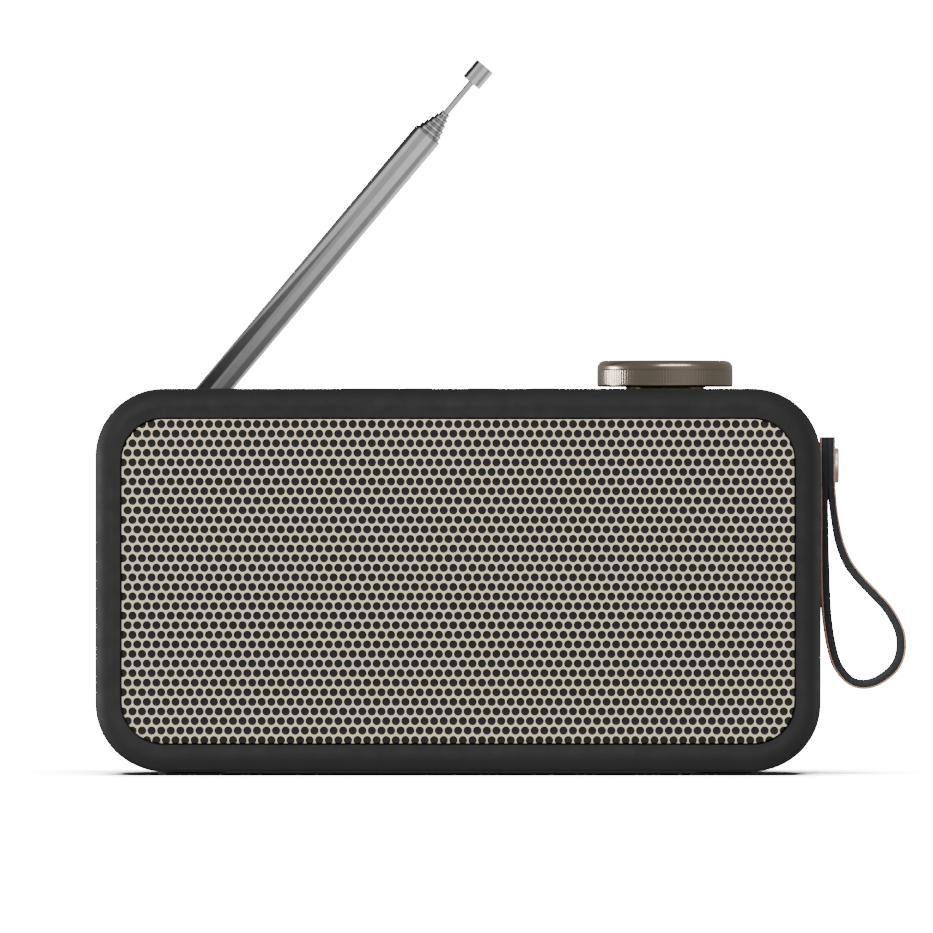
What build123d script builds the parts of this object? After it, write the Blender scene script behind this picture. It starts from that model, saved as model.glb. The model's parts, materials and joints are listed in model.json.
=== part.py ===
"""A portable radio: perforated front, top knob and buttons, telescopic antenna, leather strap.

Millimetres, +Z up, front towards -Y. The origin is on the surface the radio stands on,
below the middle of the cabinet.
"""
from build123d import *
from math import cos, pi, radians, sin
import os

# cabinet
BODY_WIDTH = 193.0
BODY_HEIGHT = 101.9
BODY_DEPTH = 56.0
CORNER_RADIUS = 18.2
EDGE_RADIUS = 4.8
WALL = 2.5
FRONT_WALL = 3.0
BACK_WALL = 2.0
FOOT_HEIGHT = 1.06
FOOT_LENGTH = 18.0
FOOT_DEPTH = 8.0
FOOT_CHAMFER = 0.45
FOOT_X = 71.0
FOOT_YS = (-15.0, 17.0)
LABEL_WIDTH = 96.0
LABEL_DEPTH = 22.0
LABEL_RECESS = 0.2
LABEL_RADIUS = 2.0
LABEL_Y = -5.0

FRONT_Y = -BODY_DEPTH / 2
BACK_Y = BODY_DEPTH / 2
BASE_Z = FOOT_HEIGHT
TOP_Z = BASE_Z + BODY_HEIGHT
MIDDLE_Z = (BASE_Z + TOP_Z) / 2
SIDE_X = BODY_WIDTH / 2
TOP_INNER_Z = TOP_Z - WALL

# split between the front housing and the rear cover
SEAM_Y = 10.0
GASKET = 0.8
COVER_Y = SEAM_Y + GASKET

# front opening, grille and baffle
OPENING_WIDTH = 179.6
OPENING_HEIGHT = 87.0
OPENING_RADIUS = 11.5
OPENING_Z = 51.7
GRILLE_GAP = 0.4
GRILLE_WIDTH = OPENING_WIDTH - 2 * GRILLE_GAP
GRILLE_HEIGHT = OPENING_HEIGHT - 2 * GRILLE_GAP
GRILLE_RADIUS = OPENING_RADIUS - GRILLE_GAP
GRILLE_RECESS = 0.1
GRILLE_THICKNESS = 0.6
CLOTH_THICKNESS = 0.35
BAFFLE_THICKNESS = 3.0
BAFFLE_Y = FRONT_Y + FRONT_WALL
BAFFLE_BACK_Y = BAFFLE_Y + BAFFLE_THICKNESS
CLOTH_Y = FRONT_Y + GRILLE_RECESS + GRILLE_THICKNESS

# channel for the folded antenna, along the top rear edge
CHANNEL_Y = 14.0
CHANNEL_Z = 89.0
CHANNEL_END_X = 57.0
CHANNEL_WALL = 2.0

# speaker and passive radiator
SPEAKER_X = 45.0
SPEAKER_Z = OPENING_Z
BAFFLE_HOLE_RADIUS = 24.5
FLANGE_RADIUS = 31.0
RIM_THICKNESS = 0.4
SPEAKER_SCREW_CIRCLE = 29.0
FLANGE_Y = BAFFLE_BACK_Y + RIM_THICKNESS
FLANGE_THICKNESS = 1.4

# top controls
CONTROL_Y = -3.0
KNOB_X = 55.2
KNOB_RADIUS = 18.15
KNOB_HEIGHT = 6.9
KNOB_GAP = 0.45
KNOB_RIBS = 160
RIB_DEPTH = 0.3
BUTTON_XS = (-10.7, 6.3, 23.3)
BUTTON_RADIUS = 3.6
BUTTON_PROUD = 0.2
WINDOW_X = -23.6
WINDOW_WIDTH = 15.6
WINDOW_DEPTH = 9.0
TOP_BOARD_Z = 93.0
TOP_BOARD_THICKNESS = 1.2
TOP_BOARD_TOP_Z = TOP_BOARD_Z + TOP_BOARD_THICKNESS
TOP_POSTS = [(x, y) for x in (-35.0, 73.0) for y in (-12.5, 5.5)]

# antenna: seven sections, drawn closed, leaning 50 degrees above the horizontal
PIVOT = Vector(-72.1, 21.0, 95.0)
ANTENNA_ANGLE = 50.0
SECTION_RADII = (4.0, 3.35, 2.9, 2.35, 1.85, 1.35, 0.85)
SECTION_CLEARANCE = 0.1
TUBE_START = 6.5
TUBE_END = 99.7
STEP_OUT = 1.5
FIRST_INNER_START = 12.0
ROD_END = 117.6
TIP_LENGTH = 5.8
TIP_RADIUS = 2.85
TONGUE = 3.0
FORK_SLOT = 3.2
FORK_RADIUS = 4.0

# strap
STRAP_WIDTH = 12.0
STRAP_THICKNESS = 1.95
STRAP_SCREW_Z = 82.5
STRAP_TOP_Z = 89.55

# rear ports and inner boards
MAIN_BOARD_Y = 12.0
MAIN_BOARD_THICKNESS = 1.6
BOARD_BACK_Y = MAIN_BOARD_Y + MAIN_BOARD_THICKNESS
PORT_Z = 12.0
USB_X = 56.0
AUX_X = 72.0
AUX_RADIUS = 1.75
AUX_DEPTH = 14.0
BOARD_POSTS = [(x, z) for x in (0.0, 76.0) for z in (22.0, 58.0)]
CELL_RADIUS = 9.2
CELL_LENGTH = 65.0
CELL_X = -48.5
CELL_Y = 15.8
CELL_ZS = (13.6, 32.6)

# longer than anything it cuts
LONG = 250.0

BASE = (Align.CENTER, Align.CENTER, Align.MIN)
FORWARD = (0, -1, 0)
BACKWARD = (0, 1, 0)
RIGHT = (1, 0, 0)
LEFT = (-1, 0, 0)
UP = (0, 0, 1)


def rod(start, direction, radius, length):
    """A cylinder from a point along a direction."""
    return Plane(origin=start, z_dir=direction) * Cylinder(radius, length, align=BASE)


def tube(start, direction, outer, inner, length):
    """A pipe from a point along a direction."""
    return rod(start, direction, outer, length) - rod(start, direction, inner, length)


def block(x0, x1, y0, y1, z0, z1):
    """A box between two corners."""
    middle = ((x0 + x1) / 2, (y0 + y1) / 2, (z0 + z1) / 2)
    return Pos(*middle) * Box(x1 - x0, y1 - y0, z1 - z0)


def facing_front(y, z=MIDDLE_Z, x=0.0):
    """A plane across the depth, with X to the right and Z up, normal to the front."""
    return Plane(origin=(x, y, z), x_dir=(1, 0, 0), z_dir=FORWARD)


def rounded_slab(width, height, radius, y_front, y_back, z=MIDDLE_Z):
    """A rounded rectangle seen from the front, running from y_front to y_back."""
    outline = facing_front(y_back, z) * RectangleRounded(width, height, radius)
    return extrude(outline, amount=y_back - y_front)


def turned(points, x, z):
    """A body of revolution about a front-to-back line; the points are (radius, y)."""
    outline = Polygon(*points, align=None)
    spin = revolve(outline, Axis.Y)
    return Pos(x, 0, z) * spin


# ---------------------------------------------------------------- cabinet

REAR_SCREWS = [(side * x, z) for side in (-1, 1) for x, z in ((88.3, 9.4), (91.2, 76.0))]
BAFFLE_SCREWS = [(side * 91.5, z) for side in (-1, 1) for z in (28.0, 51.7, 75.0)]
REAR_BOSS_RADIUS = 3.5
REAR_BOSS_GAP = 3.0
REAR_BOSS_SOLID = 4.0
SCREW_RADIUS = 1.45
SCREW_HOLE_RADIUS = 1.6
SCREW_HEAD_RADIUS = 2.75
SCREW_HEAD_HEIGHT = 2.2
HEAD_POCKET_RADIUS = 2.9
REAR_HEAD_Y = BACK_Y - 5.0
REAR_SCREW_LENGTH = 26.0
SMALL_SCREW_RADIUS = 0.98
SMALL_HOLE_RADIUS = 1.1
SMALL_HEAD_RADIUS = 1.9
SMALL_HEAD_HEIGHT = 1.3
BAFFLE_SCREW_RADIUS = 0.9
BAFFLE_HOLE_CLEARANCE = 0.05
BAFFLE_HEAD_RADIUS = 1.7
BAFFLE_HEAD_HEIGHT = 1.2
BAFFLE_THREAD = 1.6
PILOT_DEPTH = 1.8
POST_RADIUS = 2.5
POST_THREAD_DEPTH = 5.0
BOARD_THREAD_DEPTH = 6.0
SKIN = 1.0
STRAP_BOSS_RADIUS = 5.5
BUSHING_RADIUS = 3.5
BUSHING_HOLE_RADIUS = 3.6
BUTTON_CLEARANCE = 0.2
WINDOW_CLEARANCE = 0.2
PORT_CLEARANCE = 0.4
GASKET_INSET = 0.6


def cabinet_outer():
    body = rounded_slab(BODY_WIDTH, BODY_HEIGHT, CORNER_RADIUS, FRONT_Y, BACK_Y)
    ends = body.faces().filter_by(Axis.Y)
    return fillet(ends.edges(), EDGE_RADIUS)


def cabinet_cavity():
    width = BODY_WIDTH - 2 * WALL
    height = BODY_HEIGHT - 2 * WALL
    radius = CORNER_RADIUS - WALL
    hollow = rounded_slab(width, height, radius, BAFFLE_Y, BACK_Y - BACK_WALL)
    channel = block(
        -BODY_WIDTH, CHANNEL_END_X + CHANNEL_WALL,
        CHANNEL_Y - CHANNEL_WALL, BODY_DEPTH,
        CHANNEL_Z - CHANNEL_WALL, 2 * BODY_HEIGHT,
    )
    return hollow - channel


def cabinet_shell():
    channel = block(
        -BODY_WIDTH, CHANNEL_END_X, CHANNEL_Y, BODY_DEPTH, CHANNEL_Z, 2 * BODY_HEIGHT
    )
    return cabinet_outer() - cabinet_cavity() - channel


def behind(y):
    """Everything at or behind a depth."""
    return block(-BODY_WIDTH, BODY_WIDTH, y, y + BODY_DEPTH, -BODY_HEIGHT, 2 * BODY_HEIGHT)


def before(y):
    """Everything at or in front of a depth."""
    return block(-BODY_WIDTH, BODY_WIDTH, y - BODY_DEPTH, y, -BODY_HEIGHT, 2 * BODY_HEIGHT)


def make_housing(shell):
    body = shell & before(SEAM_Y)
    boss_start = BAFFLE_BACK_Y + REAR_BOSS_GAP
    bosses = [
        rod((x, boss_start, z), BACKWARD, REAR_BOSS_RADIUS, SEAM_Y - boss_start)
        for x, z in REAR_SCREWS
    ]
    posts = [
        rod((x, y, TOP_BOARD_TOP_Z), UP, POST_RADIUS, TOP_Z - SKIN - TOP_BOARD_TOP_Z)
        for x, y in TOP_POSTS
    ]
    boss_length = SIDE_X - SKIN - INSERT_START_X
    strap_boss = rod((INSERT_START_X, 0, STRAP_SCREW_Z), RIGHT, STRAP_BOSS_RADIUS, boss_length)
    body = body + bosses + posts + strap_boss
    body -= rounded_slab(
        OPENING_WIDTH, OPENING_HEIGHT, OPENING_RADIUS, FRONT_Y - 1, BAFFLE_Y + 1, OPENING_Z
    )
    thread_start = boss_start + REAR_BOSS_SOLID
    body -= [rod((x, thread_start, z), BACKWARD, SCREW_RADIUS, LONG) for x, z in REAR_SCREWS]
    body -= [rod((x, BAFFLE_Y, z), FORWARD, BAFFLE_SCREW_RADIUS, PILOT_DEPTH) for x, z in BAFFLE_SCREWS]
    body -= [
        rod((x, y, TOP_BOARD_TOP_Z), UP, SMALL_SCREW_RADIUS, POST_THREAD_DEPTH) for x, y in TOP_POSTS
    ]
    body -= rod((INSERT_START_X, 0, STRAP_SCREW_Z), RIGHT, INSERT_RADIUS, LONG)
    body -= rod((KNOB_X, CONTROL_Y, TOP_BOARD_TOP_Z), UP, BUSHING_HOLE_RADIUS, LONG)
    for x in BUTTON_XS:
        body -= rod((x, CONTROL_Y, TOP_BOARD_TOP_Z), UP, BUTTON_RADIUS + BUTTON_CLEARANCE, LONG)
    body -= Pos(WINDOW_X, CONTROL_Y, TOP_Z) * Box(
        WINDOW_WIDTH + WINDOW_CLEARANCE, WINDOW_DEPTH + WINDOW_CLEARANCE, 4 * WALL
    )
    label = extrude(RectangleRounded(LABEL_WIDTH, LABEL_DEPTH, LABEL_RADIUS), amount=2 * LABEL_RECESS)
    return body - Pos(0, LABEL_Y, BASE_Z - LABEL_RECESS) * label


def make_rear_cover(shell):
    cover = shell & behind(COVER_Y)
    wall_y = BACK_Y - BACK_WALL
    columns_end = wall_y + SKIN
    cover += [
        rod((x, COVER_Y, z), BACKWARD, REAR_BOSS_RADIUS, columns_end - COVER_Y) for x, z in REAR_SCREWS
    ]
    cover += [
        rod((x, BOARD_BACK_Y, z), BACKWARD, POST_RADIUS, columns_end - BOARD_BACK_Y)
        for x, z in BOARD_POSTS
    ]
    for x, z in REAR_SCREWS:
        cover -= rod((x, SEAM_Y, z), BACKWARD, SCREW_HOLE_RADIUS, LONG)
        cover -= rod((x, REAR_HEAD_Y, z), BACKWARD, HEAD_POCKET_RADIUS, LONG)
    cover -= [
        rod((x, BOARD_BACK_Y, z), BACKWARD, SMALL_SCREW_RADIUS, BOARD_THREAD_DEPTH)
        for x, z in BOARD_POSTS
    ]
    cover -= rod((PIVOT.X, PIVOT.Y, CHANNEL_Z - 2 * CHANNEL_WALL), UP, SOCKET_RADIUS, 3 * CHANNEL_WALL)
    cover -= Pos(USB_X, BACK_Y, PORT_Z) * Box(
        USB_WIDTH + PORT_CLEARANCE, 4 * BACK_WALL, USB_HEIGHT + PORT_CLEARANCE
    )
    return cover - rod((AUX_X, wall_y - SKIN, PORT_Z), BACKWARD, AUX_NOZZLE_RADIUS + 0.1, LONG)


def make_rear_gasket():
    ring = rounded_slab(
        BODY_WIDTH - 2 * GASKET_INSET, BODY_HEIGHT - 2 * GASKET_INSET, CORNER_RADIUS - GASKET_INSET,
        SEAM_Y, COVER_Y,
    )
    return ring - rounded_slab(
        BODY_WIDTH - 2 * WALL, BODY_HEIGHT - 2 * WALL, CORNER_RADIUS - WALL, SEAM_Y, COVER_Y
    )


def make_feet():
    foot = extrude(SlotOverall(FOOT_LENGTH, FOOT_DEPTH), amount=FOOT_HEIGHT)
    foot = chamfer(foot.edges().group_by(Axis.Z)[0], FOOT_CHAMFER)
    return Compound([Pos(x, y, 0) * foot for x in (-FOOT_X, FOOT_X) for y in FOOT_YS])


HEAD_CHAMFER_SHARE = 0.35
DRIVE_START_SHARE = 0.45
DRIVE_RADIUS_SHARE = 0.4


def screw(head, direction, shank_radius, length, head_radius, head_height):
    """A round-headed screw; head is the middle of the seat, direction points into the work."""
    back = tuple(-c for c in direction)
    top = rod(head, back, head_radius, head_height)
    rim = top.edges().filter_by(GeomType.CIRCLE).sort_by(lambda e: (e.center() - Vector(head)).length)[-1]
    top = chamfer(rim, head_height * HEAD_CHAMFER_SHARE)
    drive_start = Vector(head) + Vector(*back) * (head_height * DRIVE_START_SHARE)
    drive = rod(drive_start, back, head_radius * DRIVE_RADIUS_SHARE, head_height)
    return top + rod(head, direction, shank_radius, length) - drive


def make_rear_screws():
    return Compound([
        screw(
            (x, REAR_HEAD_Y, z), FORWARD, SCREW_RADIUS, REAR_SCREW_LENGTH, SCREW_HEAD_RADIUS,
            SCREW_HEAD_HEIGHT,
        )
        for x, z in REAR_SCREWS
    ])


def make_baffle_screws():
    return Compound([
        screw(
            (x, BAFFLE_BACK_Y, z), FORWARD, BAFFLE_SCREW_RADIUS, BAFFLE_THICKNESS + BAFFLE_THREAD,
            BAFFLE_HEAD_RADIUS, BAFFLE_HEAD_HEIGHT,
        )
        for x, z in BAFFLE_SCREWS
    ])


# ---------------------------------------------------------------- front

GRILLE_EDGE = 0.3
CLOTH_INSET = 0.2
BAFFLE_CLEARANCE = 0.7
SPEAKER_PILOT_RADIUS = 1.2


def make_grille():
    """The front sheet with its rolled outer edge, without its perforations."""
    back = FRONT_Y + GRILLE_RECESS + GRILLE_THICKNESS
    sheet = rounded_slab(
        GRILLE_WIDTH, GRILLE_HEIGHT, GRILLE_RADIUS, back - GRILLE_THICKNESS, back, OPENING_Z
    )
    return fillet(sheet.faces().sort_by(Axis.Y)[0].edges(), GRILLE_EDGE)


def behind_grille(y_front, y_back):
    """A slab a little smaller than the grille."""
    width = GRILLE_WIDTH - 2 * CLOTH_INSET
    height = GRILLE_HEIGHT - 2 * CLOTH_INSET
    return rounded_slab(width, height, GRILLE_RADIUS - CLOTH_INSET, y_front, y_back, OPENING_Z)


def make_baffle():
    inset = WALL + BAFFLE_CLEARANCE
    plate = rounded_slab(
        BODY_WIDTH - 2 * inset, BODY_HEIGHT - 2 * inset, CORNER_RADIUS - inset, BAFFLE_Y, BAFFLE_BACK_Y
    )
    baffle = plate + behind_grille(CLOTH_Y + CLOTH_THICKNESS, BAFFLE_Y + SKIN)
    for x in (-SPEAKER_X, SPEAKER_X):
        baffle -= rod((x, FRONT_Y, SPEAKER_Z), BACKWARD, BAFFLE_HOLE_RADIUS, LONG)
    baffle -= [
        rod((x, BAFFLE_BACK_Y, z), FORWARD, SPEAKER_PILOT_RADIUS, PILOT_DEPTH)
        for x, z in speaker_screw_places()
    ]
    hole_radius = BAFFLE_SCREW_RADIUS + BAFFLE_HOLE_CLEARANCE
    return baffle - [rod((x, FRONT_Y, z), BACKWARD, hole_radius, LONG) for x, z in BAFFLE_SCREWS]


# ---------------------------------------------------------------- speaker

CONE_RADIUS = 19.4
ROLL_RADIUS = 2.15
ROLL_THICKNESS = 0.4
ROLL_CENTRE = 21.45
LIP_OVERLAP = 1.2
PLATE_FRONT_Y = -9.0
PLATE_THICKNESS = 3.0
PLATE_BORE = 7.4
MAGNET_RADIUS = 18.0
MAGNET_BORE = 9.5
MAGNET_THICKNESS = 7.0
YOKE_RADIUS = 17.2
YOKE_THICKNESS = 3.0
POLE_RADIUS = 6.5
COIL_INNER = 6.85
COIL_OUTER = 7.05
COIL_LENGTH = 8.5
NECK_Y = -13.0
SPEAKER_SCREW_RADIUS = 1.15
SPEAKER_HOLE_RADIUS = 1.3
SPEAKER_HEAD_RADIUS = 2.2
SPEAKER_HEAD_HEIGHT = 1.4
SPEAKER_THREAD = 1.6
SPEAKER_SCREWS_EACH = 4
BASKET_WALL = 1.2
BASKET_RIM_RADIUS = 24.0
BASKET_STEP_RADIUS = 26.0
BASKET_BORE = 9.0
BASKET_FLOOR_RADIUS = 17.2
BASKET_WINDOW = (11.0, 6.4, 18.0)
BASKET_WINDOW_PLACE = (21.5, -14.8, 0)
CONE_SKIN = 0.5
DUST_CAP_RADIUS = 9.1
DUST_CAP_BULGE = 3.0
DUST_CAP_SKIN = 0.4
DUST_CAP_Y = -14.6
RADIATOR_FRAME_DEPTH = 3.0
RADIATOR_FLANGE = 1.4
RADIATOR_PLATE_THICKNESS = 1.2
RADIATOR_WEIGHT_RADIUS = 9.0
RADIATOR_WEIGHT_DEPTH = 3.4


def speaker_screw_places():
    for x in (-SPEAKER_X, SPEAKER_X):
        for turn in range(SPEAKER_SCREWS_EACH):
            angle = 2 * pi * (turn + 0.5) / SPEAKER_SCREWS_EACH
            yield x + SPEAKER_SCREW_CIRCLE * cos(angle), SPEAKER_Z + SPEAKER_SCREW_CIRCLE * sin(angle)


def flange_holes():
    return [
        rod((x, FRONT_Y, z), BACKWARD, SPEAKER_HOLE_RADIUS, BODY_DEPTH / 2)
        for x, z in speaker_screw_places()
    ]


def make_surround(x):
    """A rim, a half roll that bulges forwards and an inner lip, all of thin rubber."""
    front = BAFFLE_BACK_Y
    back = FLANGE_Y
    roll = Pos(ROLL_CENTRE, front) * (Circle(ROLL_RADIUS) - Circle(ROLL_RADIUS - ROLL_THICKNESS))
    roll &= Pos(ROLL_CENTRE, front - ROLL_RADIUS) * Rectangle(4 * ROLL_RADIUS, 2 * ROLL_RADIUS)
    rim_start = ROLL_CENTRE + ROLL_RADIUS - ROLL_THICKNESS
    lip_start = CONE_RADIUS - LIP_OVERLAP
    lip_end = ROLL_CENTRE - ROLL_RADIUS + ROLL_THICKNESS
    flats = [
        Polygon((start, front), (end, front), (end, back), (start, back), align=None)
        for start, end in ((rim_start, FLANGE_RADIUS), (lip_start, lip_end))
    ]
    ring = Pos(x, 0, SPEAKER_Z) * revolve(roll + flats, Axis.Y)
    return ring - flange_holes()


def make_basket():
    step_y = FLANGE_Y + FLANGE_THICKNESS
    profile = [
        (BASKET_RIM_RADIUS, FLANGE_Y), (FLANGE_RADIUS, FLANGE_Y), (FLANGE_RADIUS, step_y),
        (BASKET_STEP_RADIUS, step_y), (MAGNET_RADIUS, PLATE_FRONT_Y), (BASKET_BORE, PLATE_FRONT_Y),
        (BASKET_BORE, PLATE_FRONT_Y - BASKET_WALL), (BASKET_FLOOR_RADIUS, PLATE_FRONT_Y - BASKET_WALL),
        (BASKET_RIM_RADIUS, step_y - BASKET_WALL / 2),
    ]
    basket = turned(profile, -SPEAKER_X, SPEAKER_Z) - flange_holes()
    for turn in range(SPEAKER_SCREWS_EACH):
        facing = 360 * (turn + 0.5) / SPEAKER_SCREWS_EACH
        window = Rot(0, facing, 0) * Pos(*BASKET_WINDOW_PLACE) * Box(*BASKET_WINDOW)
        basket -= Pos(-SPEAKER_X, 0, SPEAKER_Z) * window
    return basket


def make_driver_cone():
    collar = 2 * CONE_SKIN
    profile = [
        (COIL_OUTER, NECK_Y), (COIL_OUTER, NECK_Y + collar), (COIL_OUTER + 0.6, NECK_Y + collar),
        (CONE_RADIUS - 1.1, FLANGE_Y + CONE_SKIN), (CONE_RADIUS, FLANGE_Y + CONE_SKIN),
        (CONE_RADIUS, FLANGE_Y), (CONE_RADIUS - 1.4, FLANGE_Y), (COIL_OUTER + CONE_SKIN, NECK_Y),
    ]
    return turned(profile, -SPEAKER_X, SPEAKER_Z)


def make_dust_cap():
    front = [(0.0, 1.0), (4.8, 0.72), (7.6, 0.3), (DUST_CAP_RADIUS, 0.0)]
    back = [(DUST_CAP_RADIUS - 0.3, 0.0), (7.3, 0.3), (4.6, 0.72), (0.0, 1.0)]
    profile = [(r, DUST_CAP_Y - share * DUST_CAP_BULGE) for r, share in front]
    profile += [(r, DUST_CAP_Y - share * DUST_CAP_BULGE + DUST_CAP_SKIN) for r, share in back]
    return turned(profile, -SPEAKER_X, SPEAKER_Z)


def make_yoke():
    back_y = PLATE_FRONT_Y + PLATE_THICKNESS + MAGNET_THICKNESS
    yoke = rod((-SPEAKER_X, back_y, SPEAKER_Z), BACKWARD, YOKE_RADIUS, YOKE_THICKNESS)
    pole_length = back_y - PLATE_FRONT_Y + 1.0
    return yoke + rod((-SPEAKER_X, PLATE_FRONT_Y, SPEAKER_Z), BACKWARD, POLE_RADIUS, pole_length)


def make_radiator_frame():
    back_y = FLANGE_Y + RADIATOR_FRAME_DEPTH
    step_y = FLANGE_Y + RADIATOR_FLANGE
    profile = [
        (BASKET_RIM_RADIUS, FLANGE_Y), (FLANGE_RADIUS, FLANGE_Y), (FLANGE_RADIUS, step_y),
        (BASKET_STEP_RADIUS, step_y), (BASKET_STEP_RADIUS, back_y), (BASKET_RIM_RADIUS, back_y),
    ]
    return turned(profile, SPEAKER_X, SPEAKER_Z) - flange_holes()


def make_radiator_plate():
    plate_y = FLANGE_Y + RADIATOR_PLATE_THICKNESS
    weight_y = FLANGE_Y + RADIATOR_WEIGHT_DEPTH
    profile = [
        (0.0, FLANGE_Y), (CONE_RADIUS, FLANGE_Y), (CONE_RADIUS, plate_y),
        (RADIATOR_WEIGHT_RADIUS, plate_y), (RADIATOR_WEIGHT_RADIUS, weight_y), (0.0, weight_y),
    ]
    return turned(profile, SPEAKER_X, SPEAKER_Z)


def make_speaker_screws():
    seat = FLANGE_Y + FLANGE_THICKNESS
    return Compound([
        screw(
            (x, seat, z), FORWARD, SPEAKER_SCREW_RADIUS, seat - BAFFLE_BACK_Y + SPEAKER_THREAD,
            SPEAKER_HEAD_RADIUS, SPEAKER_HEAD_HEIGHT,
        )
        for x, z in speaker_screw_places()
    ])


# ---------------------------------------------------------------- top controls

KNOB_BOTTOM_Z = TOP_Z + KNOB_GAP
KNOB_TOP_Z = KNOB_BOTTOM_Z + KNOB_HEIGHT
KNOB_LOWER_FILLET = 0.5
KNOB_UPPER_FILLET = 2.0
KNOB_BAND_START = 0.65
KNOB_BAND_HEIGHT = 3.95
KNOB_RECESS = 1.5
KNOB_BORE_RADIUS = 6.8
KNOB_BORE_CLEARANCE = 0.6
COLLAR_RADIUS = 10.5
COLLAR_HEIGHT = 0.9
COLLAR_CLEARANCE = 1.0
NUT_APOTHEM = 5.0
NUT_HEIGHT = 1.6
BUSHING_TOP_Z = TOP_Z + 2.65
BUSHING_FLANGE_RADIUS = 4.18
BUSHING_FLANGE = 1.0
SHAFT_RADIUS = 2.97
SHAFT_TOP_Z = KNOB_TOP_Z - 1.1
SHAFT_BOTTOM_Z = 97.0
SHAFT_FOOT_RADIUS = 3.9
SHAFT_FOOT_HEIGHT = 1.9
SHAFT_CLEARANCE = 0.08
ENCODER_WIDTH = 13.0
ENCODER_DEPTH = 12.0
ENCODER_WELL_RADIUS = 4.2
ENCODER_FLOOR_Z = 95.2
PLUNGER_RADIUS = 1.8
PLUNGER_HEIGHT = 1.1
HAIR = 0.02
FLANGE_TOP_Z = TOP_INNER_Z - 0.25
BUTTON_EDGE = 0.15
BUTTON_FLANGE_RADIUS = 4.2
BUTTON_FLANGE = 1.4
SWITCH_WIDTH = 6.0
SWITCH_HEIGHT = 3.4
SWITCH_STEM_RADIUS = 1.6
SWITCH_STEM_TOP = 4.1
WINDOW_PROUD = 0.15
WINDOW_CORNER = 0.8
WINDOW_LIP = 2.0
WINDOW_LIP_WIDTH = WINDOW_WIDTH + 1.2
WINDOW_LIP_DEPTH = WINDOW_DEPTH + 2.0
DISPLAY_DEPTH = WINDOW_DEPTH + 2.6
TOP_BOARD_XS = (-38.0, 76.0)
TOP_BOARD_YS = (-16.0, 9.0)
BOARD_CORNER = 1.5
TOP_SCREW_LENGTH = 5.5


def disc(x, z, radius, height):
    """An upright cylinder on the line of the controls."""
    return rod((x, CONTROL_Y, z), UP, radius, height)


def make_knob():
    upper_z = KNOB_BOTTOM_Z + KNOB_BAND_START + KNOB_BAND_HEIGHT
    core = disc(KNOB_X, KNOB_BOTTOM_Z, KNOB_RADIUS - RIB_DEPTH, KNOB_HEIGHT)
    core = fillet(core.edges().group_by(Axis.Z)[0], KNOB_LOWER_FILLET)
    core = fillet(core.edges().group_by(Axis.Z)[-1], KNOB_UPPER_FILLET)
    lower = disc(KNOB_X, KNOB_BOTTOM_Z, KNOB_RADIUS, KNOB_BAND_START)
    lower = fillet(lower.edges().group_by(Axis.Z)[0], KNOB_LOWER_FILLET)
    upper = disc(KNOB_X, upper_z, KNOB_RADIUS, KNOB_TOP_Z - upper_z)
    upper = fillet(upper.edges().group_by(Axis.Z)[-1], KNOB_UPPER_FILLET)
    rib_points = []
    for step in range(2 * KNOB_RIBS):
        radius = KNOB_RADIUS - RIB_DEPTH * (step % 2)
        angle = pi * step / KNOB_RIBS
        rib_points.append((radius * cos(angle), radius * sin(angle)))
    band = extrude(Polygon(*rib_points, align=None), amount=KNOB_BAND_HEIGHT)
    knob = core + lower + upper + Pos(KNOB_X, CONTROL_Y, KNOB_BOTTOM_Z + KNOB_BAND_START) * band
    under = KNOB_BOTTOM_Z - 1.0
    knob -= disc(KNOB_X, under, COLLAR_RADIUS + COLLAR_CLEARANCE, KNOB_RECESS + 1.0)
    knob -= disc(KNOB_X, under, KNOB_BORE_RADIUS, BUSHING_TOP_Z + KNOB_BORE_CLEARANCE - under)
    return knob - disc(KNOB_X, KNOB_BOTTOM_Z, SHAFT_RADIUS + HAIR / 2, SHAFT_TOP_Z - KNOB_BOTTOM_Z)


def make_collar():
    return tube((KNOB_X, CONTROL_Y, TOP_Z), UP, COLLAR_RADIUS, BUSHING_HOLE_RADIUS, COLLAR_HEIGHT)


def make_nut():
    outline = RegularPolygon(NUT_APOTHEM, 6, major_radius=False) - Circle(BUSHING_RADIUS + HAIR)
    return Pos(KNOB_X, CONTROL_Y, TOP_Z + COLLAR_HEIGHT) * extrude(outline, amount=NUT_HEIGHT)


def make_encoder_body():
    body = block(
        KNOB_X - ENCODER_WIDTH / 2, KNOB_X + ENCODER_WIDTH / 2,
        CONTROL_Y - ENCODER_DEPTH / 2, CONTROL_Y + ENCODER_DEPTH / 2,
        TOP_BOARD_TOP_Z, TOP_INNER_Z,
    )
    return body - disc(KNOB_X, ENCODER_FLOOR_Z, ENCODER_WELL_RADIUS, LONG)


def make_encoder_bushing():
    inside = TOP_INNER_Z - BUSHING_FLANGE
    bushing = disc(KNOB_X, inside, BUSHING_FLANGE_RADIUS, BUSHING_FLANGE)
    bushing += disc(KNOB_X, TOP_INNER_Z, BUSHING_RADIUS, BUSHING_TOP_Z - TOP_INNER_Z)
    return bushing - disc(KNOB_X, inside, SHAFT_RADIUS + SHAFT_CLEARANCE, LONG)


def make_encoder_shaft():
    shaft = disc(KNOB_X, SHAFT_BOTTOM_Z, SHAFT_RADIUS, SHAFT_TOP_Z - SHAFT_BOTTOM_Z)
    return shaft + disc(KNOB_X, SHAFT_BOTTOM_Z, SHAFT_FOOT_RADIUS, SHAFT_FOOT_HEIGHT)


def make_encoder_plunger():
    return disc(KNOB_X, SHAFT_BOTTOM_Z - PLUNGER_HEIGHT, PLUNGER_RADIUS, PLUNGER_HEIGHT - HAIR)


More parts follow.
